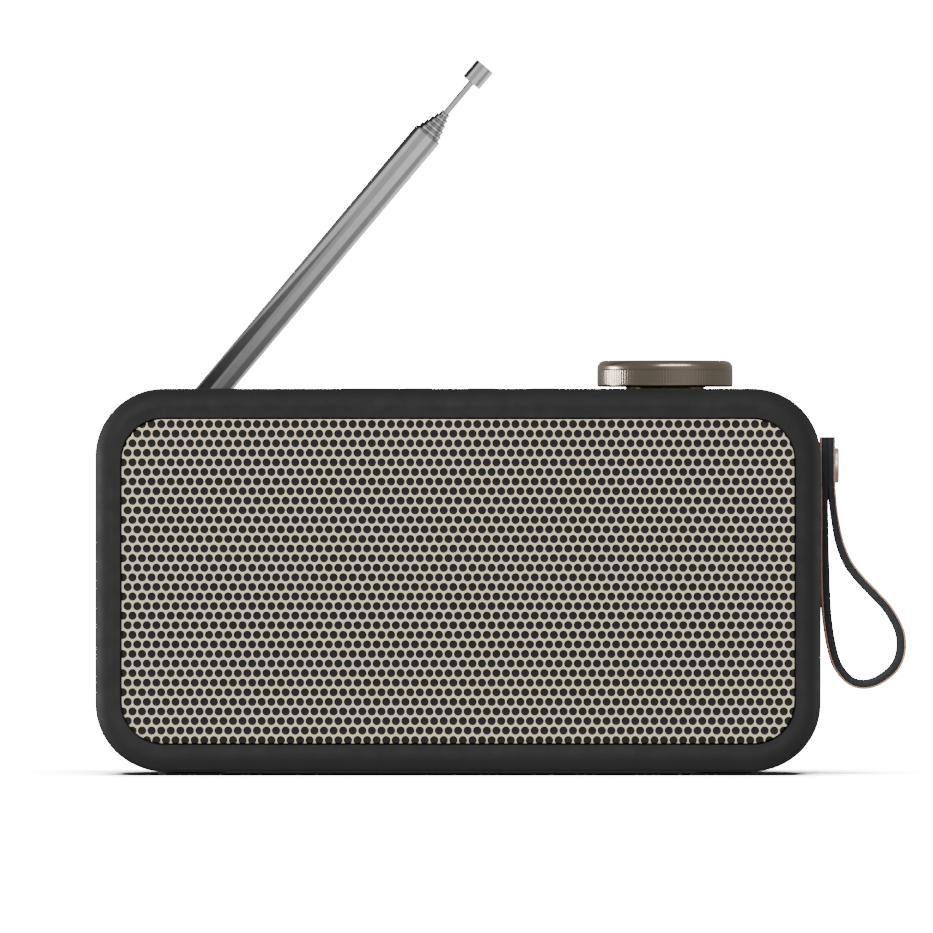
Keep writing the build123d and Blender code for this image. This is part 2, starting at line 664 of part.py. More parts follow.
def make_button(x):
    cap = disc(x, FLANGE_TOP_Z - SKIN / 2, BUTTON_RADIUS, TOP_Z + BUTTON_PROUD - FLANGE_TOP_Z + SKIN / 2)
    cap = fillet(cap.edges().group_by(Axis.Z)[-1], BUTTON_EDGE)
    return cap + disc(x, FLANGE_TOP_Z - BUTTON_FLANGE, BUTTON_FLANGE_RADIUS, BUTTON_FLANGE)


def make_tact_switches():
    switches = []
    for x in BUTTON_XS:
        body = Pos(x, CONTROL_Y, TOP_BOARD_TOP_Z) * Box(SWITCH_WIDTH, SWITCH_WIDTH, SWITCH_HEIGHT, align=BASE)
        switches.append(body + disc(x, TOP_BOARD_TOP_Z, SWITCH_STEM_RADIUS, SWITCH_STEM_TOP))
    return Compound(switches)


def window_block(z, width, depth, height):
    """A box on the line of the controls, below the window."""
    return Pos(WINDOW_X, CONTROL_Y, z) * Box(width, depth, height, align=BASE)


def make_window():
    lens = window_block(TOP_INNER_Z, WINDOW_WIDTH, WINDOW_DEPTH, TOP_Z + WINDOW_PROUD - TOP_INNER_Z)
    lens = fillet(lens.edges().filter_by(Axis.Z), WINDOW_CORNER)
    return lens + window_block(TOP_INNER_Z - WINDOW_LIP, WINDOW_LIP_WIDTH, WINDOW_LIP_DEPTH, WINDOW_LIP)


def make_display():
    height = TOP_INNER_Z - WINDOW_LIP - TOP_BOARD_TOP_Z
    return window_block(TOP_BOARD_TOP_Z, WINDOW_LIP_WIDTH, DISPLAY_DEPTH, height)


def make_top_board():
    board = block(*TOP_BOARD_XS, *TOP_BOARD_YS, TOP_BOARD_Z, TOP_BOARD_TOP_Z)
    board = fillet(board.edges().filter_by(Axis.Z), BOARD_CORNER)
    return board - [rod((x, y, 0), UP, SMALL_HOLE_RADIUS, LONG) for x, y in TOP_POSTS]


def small_screw(seat, direction, length):
    return screw(seat, direction, SMALL_SCREW_RADIUS, length, SMALL_HEAD_RADIUS, SMALL_HEAD_HEIGHT)


def make_top_board_screws():
    return Compound([small_screw((x, y, TOP_BOARD_Z), UP, TOP_SCREW_LENGTH) for x, y in TOP_POSTS])


# ---------------------------------------------------------------- antenna

AIM = Vector(cos(radians(ANTENNA_ANGLE)), 0, sin(radians(ANTENNA_ANGLE)))
SOCKET_RADIUS = 4.0
SOCKET_BORE = 2.53
SOCKET_BOTTOM_Z = 82.0
SOCKET_LIP_RADIUS = 6.0
SOCKET_LIP = 0.6
SOCKET_NUT_APOTHEM = 4.8
SOCKET_NUT_HEIGHT = 2.5
SWIVEL_DISC_RADIUS = 4.8
SWIVEL_DISC = 1.1
SWIVEL_STEM_RADIUS = 2.48
SWIVEL_STEM_OUT = 1.0
PIN_RADIUS = 0.99
PIN_LENGTH = 7.8
PIN_PRESS = 0.01
PIN_CLEARANCE = 0.06
KNUCKLE_RADIUS = 3.6
KNUCKLE_SHOULDER = 1.3
KNUCKLE_PLUG = 4.0
KNUCKLE_OVERLAP = 0.4
TUBE_RIM = 0.22
ROD_IN_TIP = 3.0
TIP_BORE = 4.0
TIP_EDGE = 0.4


def along(distance):
    """A point on the antenna's centre line, from the pivot."""
    return PIVOT + AIM * distance


def upright(z0, z1, radius):
    """A cylinder about the swivel's vertical axis."""
    return rod((PIVOT.X, PIVOT.Y, z0), UP, radius, z1 - z0)


def across(radius, length):
    """A cylinder about the elbow's axis, centred on the pivot."""
    return rod((PIVOT.X, PIVOT.Y - length / 2, PIVOT.Z), BACKWARD, radius, length)


def make_socket():
    lip_top = CHANNEL_Z + SOCKET_LIP
    socket = upright(SOCKET_BOTTOM_Z, CHANNEL_Z, SOCKET_RADIUS - 0.01)
    socket += upright(CHANNEL_Z, lip_top, SOCKET_LIP_RADIUS)
    return socket - upright(SOCKET_BOTTOM_Z, lip_top, SOCKET_BORE)


def make_socket_nut():
    outline = RegularPolygon(SOCKET_NUT_APOTHEM, 6, major_radius=False) - Circle(SOCKET_RADIUS)
    bottom = CHANNEL_Z - CHANNEL_WALL - SOCKET_NUT_HEIGHT
    return Pos(PIVOT.X, PIVOT.Y, bottom) * extrude(outline, amount=SOCKET_NUT_HEIGHT)


def make_antenna_base():
    seat = CHANNEL_Z + SOCKET_LIP
    disc_top = seat + SWIVEL_DISC
    stem = upright(SOCKET_BOTTOM_Z - SWIVEL_STEM_OUT, disc_top, SWIVEL_STEM_RADIUS)
    foot = upright(seat, disc_top, SWIVEL_DISC_RADIUS)
    cheeks = across(FORK_RADIUS, 2 * FORK_RADIUS)
    cheeks += block(
        PIVOT.X - FORK_RADIUS, PIVOT.X + FORK_RADIUS, PIVOT.Y - FORK_RADIUS, PIVOT.Y + FORK_RADIUS,
        disc_top - SWIVEL_DISC / 2, PIVOT.Z,
    )
    cheeks &= upright(seat, PIVOT.Z + 2 * FORK_RADIUS, SWIVEL_DISC_RADIUS)
    cheeks -= block(
        PIVOT.X - 2 * FORK_RADIUS, PIVOT.X + 2 * FORK_RADIUS,
        PIVOT.Y - FORK_SLOT / 2, PIVOT.Y + FORK_SLOT / 2, disc_top, PIVOT.Z + 2 * FORK_RADIUS,
    )
    return stem + foot + cheeks - across(PIN_RADIUS + PIN_PRESS, LONG)


def make_knuckle():
    plug_radius = SECTION_RADII[1] + SECTION_CLEARANCE - 0.01
    knuckle = rod(along(TUBE_START - KNUCKLE_SHOULDER), AIM, SECTION_RADII[0], KNUCKLE_SHOULDER)
    knuckle += rod(along(TUBE_START), AIM, plug_radius, KNUCKLE_PLUG)
    knuckle += across(KNUCKLE_RADIUS, TONGUE)
    knuckle += Plane(origin=PIVOT, z_dir=AIM, x_dir=BACKWARD) * Box(
        TONGUE, 2 * KNUCKLE_RADIUS, TUBE_START - KNUCKLE_OVERLAP, align=BASE
    )
    return knuckle - across(PIN_RADIUS + PIN_CLEARANCE, LONG)


def section_start(index):
    return TUBE_START if index == 0 else FIRST_INNER_START + STEP_OUT * (index - 1)


def make_section(index):
    """One tube of the antenna; section 0 is the outermost, and it holds the next."""
    start = section_start(index)
    length = TUBE_END + STEP_OUT * index - start
    bore = SECTION_RADII[index + 1] + SECTION_CLEARANCE
    wall = rod(along(start), AIM, SECTION_RADII[index], length)
    rim = wall.edges().filter_by(GeomType.CIRCLE).sort_by(Axis.Z)[-1]
    return fillet(rim, TUBE_RIM) - rod(along(start), AIM, bore, length)


def make_antenna_rod():
    start = section_start(len(SECTION_RADII) - 1)
    return rod(along(start), AIM, SECTION_RADII[-1], ROD_END + ROD_IN_TIP - start)


def make_antenna_tip():
    cap = rod(along(ROD_END), AIM, TIP_RADIUS, TIP_LENGTH)
    cap = fillet(cap.edges().filter_by(GeomType.CIRCLE), TIP_EDGE)
    return cap - rod(along(ROD_END - 1), AIM, SECTION_RADII[-1] + 0.01, TIP_BORE)


# ---------------------------------------------------------------- strap

INSERT_START_X = 87.0
INSERT_RADIUS = 3.2
PLY_GAP = 0.1
INNER_PLY_X = SIDE_X + PLY_GAP + STRAP_THICKNESS / 2
OUTER_PLY_X = INNER_PLY_X + STRAP_THICKNESS + PLY_GAP
STRAP_HOLE_RADIUS = 2.1
STRAP_HEAD_X = OUTER_PLY_X + STRAP_THICKNESS / 2 + 0.05
STRAP_HEAD_RADIUS = 4.7
STRAP_HEAD_HEIGHT = 1.05
STRAP_HEAD_EDGE = 0.55
STRAP_HEAD_SLOT = 1.2
STRAP_SHANK_RADIUS = 1.95
STRAP_SHANK_SHORT = 2.0
INSERT_BORE_RADIUS = 1.96
# the middle of the leather: distance out from the side, height
STRAP_LOOP = (
    (1.2, 74.0), (1.3, 60.0), (1.5, 50.0), (1.95, 41.5), (3.0, 34.2), (4.6, 28.8), (8.0, 24.7),
    (12.2, 23.8), (16.2, 25.4), (19.8, 28.7), (21.6, 33.0), (21.3, 38.2), (18.5, 43.8), (14.8, 48.0),
    (10.7, 52.3), (7.5, 56.6), (5.3, 62.0), (4.1, 68.0), (3.4, 74.0),
)
STRAP_FLAT_Z = 78.4


def make_strap():
    """A leather strip bent into a loop, its two ends lying one on the other."""
    inner = (INNER_PLY_X - SIDE_X, STRAP_TOP_Z)
    outer = (OUTER_PLY_X - SIDE_X, STRAP_TOP_Z)
    under_head = ((outer[0], STRAP_FLAT_Z), (outer[0], STRAP_SCREW_Z))
    places = [inner, (inner[0], STRAP_SCREW_Z), *STRAP_LOOP, *under_head, outer]
    points = [(SIDE_X + out, 0, z) for out, z in places]
    route = Spline(*points, tangents=((0, 0, -1), (0, 0, 1)))
    start = Plane(origin=points[0], x_dir=(1, 0, 0), z_dir=(0, 0, -1))
    strip = sweep(start * Rectangle(STRAP_THICKNESS, STRAP_WIDTH), path=route)
    return strip - rod((SIDE_X, 0, STRAP_SCREW_Z), RIGHT, STRAP_HOLE_RADIUS, LONG)


def make_strap_screw():
    head = rod((STRAP_HEAD_X, 0, STRAP_SCREW_Z), RIGHT, STRAP_HEAD_RADIUS, STRAP_HEAD_HEIGHT)
    head = fillet(head.edges().filter_by(GeomType.CIRCLE).sort_by(Axis.X)[-1], STRAP_HEAD_EDGE)
    slot = Pos(STRAP_HEAD_X + STRAP_HEAD_HEIGHT, 0, STRAP_SCREW_Z) * Box(
        STRAP_HEAD_SLOT, STRAP_HEAD_SLOT, 3 * STRAP_HEAD_RADIUS
    )
    shank_length = STRAP_HEAD_X - INSERT_START_X - STRAP_SHANK_SHORT
    return head + rod((STRAP_HEAD_X, 0, STRAP_SCREW_Z), LEFT, STRAP_SHANK_RADIUS, shank_length) - slot


def make_strap_insert():
    start = (INSERT_START_X, 0, STRAP_SCREW_Z)
    return tube(start, RIGHT, INSERT_RADIUS - 0.01, INSERT_BORE_RADIUS, SIDE_X - INSERT_START_X)


# ---------------------------------------------------------------- electronics

MAIN_BOARD_XS = (-5.0, 82.0)
MAIN_BOARD_ZS = (6.5, 64.0)
BOARD_SCREW_LENGTH = 7.0
USB_WIDTH = 9.0
USB_HEIGHT = 3.3
USB_RADIUS = 1.6
USB_SHELL = 0.3
USB_DEPTH = 6.5
USB_TONGUE = (6.7, 0.7)
AUX_NOZZLE_RADIUS = 2.9
AUX_BODY = 7.0
PORT_END_Y = BACK_Y - 0.15
MODULE_WIDTH = 22.0
MODULE_HEIGHT = 16.0
MODULE_DEPTH = 3.0
MODULE_PLACE = (53.0, 48.0)
MODULE_CORNER = 0.8
CAPACITOR_XS = (12.0, 22.0, 32.0)
CAPACITOR_Z = 30.0
CAPACITOR_RADIUS = 4.0
CAPACITOR_LENGTH = 10.0
CELL_EDGE = 0.8
CELL_CLEARANCE = 0.1
HOLDER_END = 2.0
HOLDER_FRONT = 2.0
HOLDER_BELOW = 9.0
HOLDER_ABOVE = 11.0


def make_main_board():
    board = block(*MAIN_BOARD_XS, MAIN_BOARD_Y, BOARD_BACK_Y, *MAIN_BOARD_ZS)
    board = fillet(board.edges().filter_by(Axis.Y), BOARD_CORNER)
    return board - [rod((x, 0, z), BACKWARD, SMALL_HOLE_RADIUS, LONG) for x, z in BOARD_POSTS]


def make_main_board_screws():
    return Compound([
        small_screw((x, MAIN_BOARD_Y, z), BACKWARD, BOARD_SCREW_LENGTH) for x, z in BOARD_POSTS
    ])


def make_usb_socket():
    mouth = facing_front(PORT_END_Y, PORT_Z, USB_X)
    shell = mouth * RectangleRounded(USB_WIDTH, USB_HEIGHT, USB_RADIUS)
    inside = mouth * RectangleRounded(
        USB_WIDTH - 2 * USB_SHELL, USB_HEIGHT - 2 * USB_SHELL, USB_RADIUS - USB_SHELL
    )
    tongue_width, tongue_height = USB_TONGUE
    tongue = block(
        USB_X - tongue_width / 2, USB_X + tongue_width / 2, BOARD_BACK_Y + 2, PORT_END_Y - 1,
        PORT_Z - tongue_height / 2, PORT_Z + tongue_height / 2,
    )
    socket = extrude(shell, amount=PORT_END_Y - BOARD_BACK_Y) - extrude(inside, amount=USB_DEPTH)
    return socket + tongue


def make_aux_jack():
    wall_y = BACK_Y - BACK_WALL
    half = AUX_BODY / 2
    jack = block(AUX_X - half, AUX_X + half, BOARD_BACK_Y, wall_y, PORT_Z - half, PORT_Z + half)
    jack += rod((AUX_X, wall_y - SKIN, PORT_Z), BACKWARD, AUX_NOZZLE_RADIUS, PORT_END_Y - wall_y + SKIN)
    return jack - rod((AUX_X, PORT_END_Y, PORT_Z), FORWARD, AUX_RADIUS, AUX_DEPTH)


def make_radio_module():
    x, z = MODULE_PLACE
    can = Pos(x, MAIN_BOARD_Y - MODULE_DEPTH / 2, z) * Box(MODULE_WIDTH, MODULE_DEPTH, MODULE_HEIGHT)
    return fillet(can.edges().filter_by(Axis.Y), MODULE_CORNER)


def make_capacitors():
    return Compound([
        rod((x, MAIN_BOARD_Y, CAPACITOR_Z), FORWARD, CAPACITOR_RADIUS, CAPACITOR_LENGTH)
        for x in CAPACITOR_XS
    ])


def make_battery_cells():
    cells = []
    for z in CELL_ZS:
        cell = rod((CELL_X - CELL_LENGTH / 2, CELL_Y, z), RIGHT, CELL_RADIUS, CELL_LENGTH)
        cells.append(fillet(cell.edges().filter_by(GeomType.CIRCLE), CELL_EDGE))
    return Compound(cells)


def make_battery_holder():
    end = CELL_LENGTH / 2 + HOLDER_END
    nest = CELL_LENGTH / 2 + CELL_CLEARANCE
    holder = block(
        CELL_X - end, CELL_X + end, CELL_Y - HOLDER_FRONT, BACK_Y - BACK_WALL,
        CELL_ZS[0] - HOLDER_BELOW, CELL_ZS[1] + HOLDER_ABOVE,
    )
    return holder - [
        rod((CELL_X - nest, CELL_Y, z), RIGHT, CELL_RADIUS + CELL_CLEARANCE, 2 * nest) for z in CELL_ZS
    ]


# ---------------------------------------------------------------- write

def driver_ring(y, outer, inner, length):
    """A ring about the driver's axis, from a depth backwards."""
    return tube((-SPEAKER_X, y, SPEAKER_Z), BACKWARD, outer, inner, length)


def all_parts():
    """Every sub-part by name."""
    shell = cabinet_shell()
    magnet_y = PLATE_FRONT_Y + PLATE_THICKNESS
    parts = {
        "housing": make_housing(shell),
        "rear_cover": make_rear_cover(shell),
        "rear_cover_gasket": make_rear_gasket(),
        "rear_cover_screws": make_rear_screws(),
        "rubber_feet": make_feet(),
        "grille": make_grille(),
        "grille_cloth": behind_grille(CLOTH_Y, CLOTH_Y + CLOTH_THICKNESS),
        "front_baffle": make_baffle(),
        "baffle_screws": make_baffle_screws(),
        "driver_basket": make_basket(),
        "driver_surround": make_surround(-SPEAKER_X),
        "driver_cone": make_driver_cone(),
        "driver_dust_cap": make_dust_cap(),
        "driver_voice_coil": driver_ring(NECK_Y, COIL_OUTER, COIL_INNER, COIL_LENGTH),
        "driver_top_plate": driver_ring(PLATE_FRONT_Y, MAGNET_RADIUS, PLATE_BORE, PLATE_THICKNESS),
        "driver_magnet": driver_ring(magnet_y, MAGNET_RADIUS, MAGNET_BORE, MAGNET_THICKNESS),
        "driver_yoke": make_yoke(),
        "radiator_frame": make_radiator_frame(),
        "radiator_surround": make_surround(SPEAKER_X),
        "radiator_plate": make_radiator_plate(),
        "speaker_screws": make_speaker_screws(),
        "knob": make_knob(),
        "knob_collar": make_collar(),
        "encoder_nut": make_nut(),
        "encoder_bushing": make_encoder_bushing(),
        "encoder_body": make_encoder_body(),
        "encoder_shaft": make_encoder_shaft(),
        "encoder_plunger": make_encoder_plunger(),
        "display_window": make_window(),
        "display_module": make_display(),
        "tact_switches": make_tact_switches(),
        "top_board": make_top_board(),
        "top_board_screws": make_top_board_screws(),
        "antenna_socket": make_socket(),
        "antenna_socket_nut": make_socket_nut(),
        "antenna_base": make_antenna_base(),
        "antenna_pin": across(PIN_RADIUS, PIN_LENGTH),
        "antenna_knuckle": make_knuckle(),
        "antenna_rod": make_antenna_rod(),
        "antenna_tip": make_antenna_tip(),
        "carry_strap": make_strap(),
        "strap_screw": make_strap_screw(),
        "strap_insert": make_strap_insert(),
        "main_board": make_main_board(),
        "main_board_screws": make_main_board_screws(),
        "usb_c_socket": make_usb_socket(),
        "aux_jack": make_aux_jack(),
        "radio_module": make_radio_module(),
        "capacitors": make_capacitors(),
        "battery_cells": make_battery_cells(),
        "battery_holder": make_battery_holder(),
    }
    for number, x in enumerate(BUTTON_XS, start=1):
        parts[f"button_{number}"] = make_button(x)
    for index in range(len(SECTION_RADII) - 1):
        parts[f"antenna_tube_{index + 1}"] = make_section(index)
    return parts


os.makedirs("parts", exist_ok=True)
for name, shape in all_parts().items():
    export_step(shape, f"parts/{name}.step")
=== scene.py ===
"""Looks for the portable radio: a perforated metal front, a knurled knob, a chrome telescopic
antenna and a leather strap, on a plain pale floor. Metres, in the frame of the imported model."""

import json
from math import acos, cos, hypot, pi, radians, sin, sqrt, tan

import bmesh
import bpy
from mathutils import Matrix, Vector
from mathutils.geometry import delaunay_2d_cdt


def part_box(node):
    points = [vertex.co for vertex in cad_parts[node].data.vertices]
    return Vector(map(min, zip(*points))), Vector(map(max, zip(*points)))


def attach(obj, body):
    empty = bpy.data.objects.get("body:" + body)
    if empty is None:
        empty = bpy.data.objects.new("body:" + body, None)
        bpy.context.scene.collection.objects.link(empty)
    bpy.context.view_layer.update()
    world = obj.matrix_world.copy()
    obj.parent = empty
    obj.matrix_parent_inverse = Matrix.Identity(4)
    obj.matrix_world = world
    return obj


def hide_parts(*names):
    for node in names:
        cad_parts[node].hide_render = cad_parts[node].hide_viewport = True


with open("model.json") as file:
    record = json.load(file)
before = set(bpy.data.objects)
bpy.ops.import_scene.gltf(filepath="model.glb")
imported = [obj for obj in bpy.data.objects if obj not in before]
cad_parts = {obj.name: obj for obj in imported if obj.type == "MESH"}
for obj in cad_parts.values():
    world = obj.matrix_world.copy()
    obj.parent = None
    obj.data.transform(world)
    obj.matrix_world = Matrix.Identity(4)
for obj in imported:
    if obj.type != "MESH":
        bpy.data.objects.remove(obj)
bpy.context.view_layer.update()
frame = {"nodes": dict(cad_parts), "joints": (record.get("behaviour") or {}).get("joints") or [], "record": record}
MM = 0.001
MM_PER_METRE = 1000

JOINTS = {joint["name"]: joint for joint in frame["joints"]}


# ---------------------------------------------------------------- materials

def material(name, **sockets):
    """A new node material; the named sockets of its Principled shader are set directly."""
    made = bpy.data.materials.new(name)
    made.use_nodes = True
    shader = made.node_tree.nodes["Principled BSDF"]
    for socket, value in sockets.items():
        shader.inputs[socket.replace("_", " ")].default_value = value
    return made


def node(made, kind, **sockets):
    """A new shader node of a material or world, with the named sockets set."""
    made_node = made.node_tree.nodes.new(kind)
    for socket, value in sockets.items():
        made_node.inputs[socket.replace("_", " ")].default_value = value
    return made_node


def link(made, source, target):
    made.node_tree.links.new(source, target)


def shader_input(made, name):
    return made.node_tree.nodes["Principled BSDF"].inputs[name]


def coordinates(made, stretch=(1, 1, 1)):
    """Object coordinates in millimetres, stretched along each axis."""
    place = node(made, "ShaderNodeTexCoord")
    scaled = node(made, "ShaderNodeMapping")
    scaled.inputs["Scale"].default_value = tuple(MM_PER_METRE * share for share in stretch)
    link(made, place.outputs["Object"], scaled.inputs["Vector"])
    return scaled.outputs["Vector"]


def noise(made, per_mm, detail=3.0, roughness=0.55, stretch=(1, 1, 1)):
    """Noise with the given number of features per millimetre."""
    texture = node(made, "ShaderNodeTexNoise", Scale=per_mm, Detail=detail, Roughness=roughness)
    link(made, coordinates(made, stretch), texture.inputs["Vector"])
    return texture.outputs["Fac"]


def ramp(made, value, stops, socket):
    """Maps a value to colours or greys and feeds a shader socket."""
    colours = node(made, "ShaderNodeValToRGB")
    elements = colours.color_ramp.elements
    while len(elements) < len(stops):
        elements.new(0.5)
    for element, (position, colour) in zip(elements, stops):
        element.position = position
        element.color = (*colour, 1) if isinstance(colour, tuple) else (colour, colour, colour, 1)
    link(made, value, colours.inputs["Fac"])
    link(made, colours.outputs["Color"], shader_input(made, socket))


def bump(made, height, strength, depth_mm):
    relief = node(made, "ShaderNodeBump", Strength=strength, Distance=depth_mm * MM)
    link(made, height, relief.inputs["Height"])
    link(made, relief.outputs["Normal"], shader_input(made, "Normal"))


def blend_values(made, first, second, operation="ADD"):
    mixed = node(made, "ShaderNodeMath")
    mixed.operation = operation
    link(made, first, mixed.inputs[0])
    link(made, second, mixed.inputs[1])
    return mixed.outputs["Value"]


def vector_step(made, operation, vector, operand=None):
    """One step of vector arithmetic on a linked vector."""
    step = node(made, "ShaderNodeVectorMath")
    step.operation = operation
    if operand is not None:
        step.inputs[1].default_value = operand
    link(made, vector, step.inputs[0])
    return step.outputs["Value" if operation in ("LENGTH", "DOT_PRODUCT") else "Vector"]


def times(made, value, factor):
    step = node(made, "ShaderNodeMath")
    step.operation = "MULTIPLY"
    step.inputs[1].default_value = factor
    link(made, value, step.inputs[0])
    return step.outputs["Value"]


def moulded_plastic(name, dark, light, rough, grain_per_mm=3.0):
    """Moulded plastic with a fine spark-eroded grain and faint blotches."""
    made = material(name, Specular_IOR_Level=0.28)
    ramp(made, noise(made, 0.05, 4), ((0.35, dark), (0.65, light)), "Base Color")
    ramp(made, noise(made, 0.22, 5), ((0.3, rough - 0.05), (0.7, rough + 0.06)), "Roughness")
    bump(made, noise(made, grain_per_mm, 4), 0.25, 0.02)
    return made


def metal(name, colour, rough_low, rough_high, stretch=(1, 1, 1), per_mm=1.5, depth_mm=0.004):
    """Metal with drawn or turned marks along the axis that is stretched least."""
    made = material(name, Metallic=1.0)
    marks = noise(made, per_mm, 6, 0.6, stretch)
    dark = tuple(channel * 0.93 for channel in colour)
    ramp(made, marks, ((0.35, dark), (0.65, colour)), "Base Color")
    ramp(made, noise(made, 0.35, 4), ((0.3, rough_low), (0.7, rough_high)), "Roughness")
    bump(made, marks, 0.3, depth_mm)
    return made


def grille_paint():
    made = material("grille_paint", Specular_IOR_Level=0.4)
    blotches = ((0.3, (0.59, 0.53, 0.355)), (0.5, (0.65, 0.565, 0.39)), (0.7, (0.64, 0.54, 0.38)))
    ramp(made, noise(made, 0.16, 3), blotches, "Base Color")
    ramp(made, noise(made, 0.8, 3), ((0.3, 0.40), (0.7, 0.50)), "Roughness")
    bump(made, noise(made, 2.2, 3), 0.22, 0.03)
    return made


def woven_cloth():
    made = material("grille_cloth", Roughness=0.95, Sheen_Weight=0.15, Sheen_Roughness=0.5)
    waves = []
    for axis in ("X", "Z"):
        wave = node(made, "ShaderNodeTexWave", Scale=1.1, Distortion=0.6)
        wave.bands_direction = axis
        wave.inputs["Detail Scale"].default_value = 1.5
        link(made, coordinates(made), wave.inputs["Vector"])
        waves.append(wave.outputs["Fac"])
    weave = blend_values(made, waves[0], waves[1], "MULTIPLY")
    ramp(made, weave, ((0.1, (0.004, 0.004, 0.005)), (0.8, (0.026, 0.0245, 0.023))), "Base Color")
    bump(made, weave, 0.6, 0.06)
    return made


def knob_metal(centre):
    """Bronze anodised aluminium with turning rings about the knob's axis."""
    made = material("knob_aluminium", Metallic=1.0)
    place = node(made, "ShaderNodeTexCoord").outputs["Object"]
    offset = vector_step(made, "SUBTRACT", place, (centre.x, centre.y, 0))
    flat = vector_step(made, "MULTIPLY", offset, (MM_PER_METRE, MM_PER_METRE, 0))
    split = node(made, "ShaderNodeSeparateXYZ")
    link(made, place, split.inputs["Vector"])
    joined = node(made, "ShaderNodeCombineXYZ")
    link(made, vector_step(made, "LENGTH", flat), joined.inputs["X"])
    link(made, times(made, split.outputs["Z"], MM_PER_METRE), joined.inputs["Y"])
    rings = node(made, "ShaderNodeTexNoise", Scale=9.0, Detail=5.0, Roughness=0.7)
    link(made, joined.outputs["Vector"], rings.inputs["Vector"])
    turned = rings.outputs["Fac"]
    ramp(made, turned, ((0.3, (0.235, 0.195, 0.145)), (0.7, (0.31, 0.262, 0.203))), "Base Color")
    ramp(made, turned, ((0.3, 0.20), (0.7, 0.27)), "Roughness")
    bump(made, turned, 0.35, 0.008)
    return made


def chrome():
    made = material("chrome", Metallic=1.0)
    wear = noise(made, 0.5, 6, 0.65)
    ramp(made, wear, ((0.3, (0.70, 0.70, 0.70)), (0.7, (0.80, 0.80, 0.80))), "Base Color")
    ramp(made, wear, ((0.3, 0.07), (0.62, 0.13), (0.75, 0.22)), "Roughness")
    bump(made, noise(made, 3.0, 4), 0.05, 0.004)
    return made


def leather(name, deep, light, rough, pores_per_mm=2.6):
    made = material(name, Specular_IOR_Level=0.35)
    pores = node(made, "ShaderNodeTexVoronoi", Scale=pores_per_mm)
    link(made, coordinates(made), pores.inputs["Vector"])
    folds = noise(made, 1.4, 6, 0.65)
    grain = blend_values(made, pores.outputs["Distance"], folds, "MULTIPLY")
    ramp(made, folds, ((0.3, deep), (0.7, light)), "Base Color")
    ramp(made, grain, ((0.1, rough + 0.1), (0.5, rough - 0.08)), "Roughness")
    bump(made, grain, 0.5, 0.05)
    return made


def circuit_board():
    made = material("circuit_board", Roughness=0.35, Coat_Weight=0.4, Coat_Roughness=0.2)
    tracks = node(made, "ShaderNodeTexBrick", Scale=0.35)
    tracks.inputs["Mortar Size"].default_value = 0.05
    tracks.inputs["Color1"].default_value = (0.02, 0.11, 0.045, 1)
    tracks.inputs["Color2"].default_value = (0.018, 0.09, 0.04, 1)
    tracks.inputs["Mortar"].default_value = (0.05, 0.20, 0.08, 1)
    link(made, coordinates(made), tracks.inputs["Vector"])
    link(made, tracks.outputs["Color"], shader_input(made, "Base Color"))
    bump(made, tracks.outputs["Fac"], 0.3, 0.03)
    return made


def dark_window():
    made = material("window", Roughness=0.08, Coat_Weight=0.6, Coat_Roughness=0.05)
    smears = ((0.3, (0.006, 0.006, 0.008)), (0.7, (0.011, 0.011, 0.013)))
    ramp(made, noise(made, 0.2, 2), smears, "Base Color")
    return made


def rubber(name, tone):
    made = material(name, Specular_IOR_Level=0.3)
    ramp(made, noise(made, 0.6, 5), ((0.3, tone * 0.8), (0.7, tone * 1.25)), "Base Color")
    ramp(made, noise(made, 1.2, 3), ((0.3, 0.68), (0.7, 0.85)), "Roughness")
    bump(made, noise(made, 5.0, 3), 0.3, 0.03)
    return made


knob_low, knob_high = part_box("knob")
knob_centre = (Vector(knob_low) + Vector(knob_high)) / 2

MATERIALS = {
    "cabinet_plastic": moulded_plastic(
        "cabinet_plastic", (0.0075, 0.0075, 0.0075), (0.009, 0.009, 0.009), 0.68),
    "button_plastic": moulded_plastic("button_plastic", (0.026, 0.026, 0.027), (0.032, 0.032, 0.033), 0.45),
    "baffle_plastic": moulded_plastic("baffle_plastic", (0.012, 0.012, 0.013), (0.018, 0.018, 0.019), 0.7),
    "component_plastic": moulded_plastic("component_plastic", (0.015, 0.015, 0.016), (0.03, 0.03, 0.03), 0.5),
    "cell_wrap": moulded_plastic("cell_wrap", (0.03, 0.11, 0.28), (0.04, 0.15, 0.34), 0.3, 0.6),
    "cone_paper": moulded_plastic("cone_paper", (0.015, 0.015, 0.015), (0.03, 0.03, 0.029), 0.85, 1.2),
    "grille_paint": grille_paint(),
    "grille_cloth": woven_cloth(),
    "rubber": rubber("rubber", 0.02),
    "knob_aluminium": knob_metal(knob_centre),
    "collar_gilt": metal("collar_gilt", (0.16, 0.10, 0.02), 0.25, 0.4, (1, 1, 6)),
    "steel": metal("steel", (0.52, 0.50, 0.48), 0.25, 0.4, (1, 1, 4)),
    "brass": metal("brass", (0.70, 0.50, 0.22), 0.22, 0.38, (1, 1, 4)),
    "copper": metal("copper", (0.72, 0.33, 0.18), 0.25, 0.35, (1, 8, 1)),
    "ferrite": moulded_plastic("ferrite", (0.035, 0.035, 0.037), (0.06, 0.06, 0.063), 0.6, 1.0),
    "chrome": chrome(),
    "leather": leather("leather", (0.005, 0.006, 0.009), (0.011, 0.012, 0.017), 0.5),
    "window": dark_window(),
    "circuit_board": circuit_board(),
}
ROSE_NICKEL = metal("rose_nickel", (0.82, 0.74, 0.67), 0.3, 0.42, (4, 1, 1))
TAN_LEATHER = leather("tan_leather", (0.46, 0.25, 0.17), (0.60, 0.36, 0.27), 0.6, 3.2)

SLOT_OF = {part["node"]: part["material_slot"] for part in frame["record"]["subparts"]}
for name, cad in frame["nodes"].items():
    cad.data.materials.clear()
    cad.data.materials.append(MATERIALS[SLOT_OF[name]])


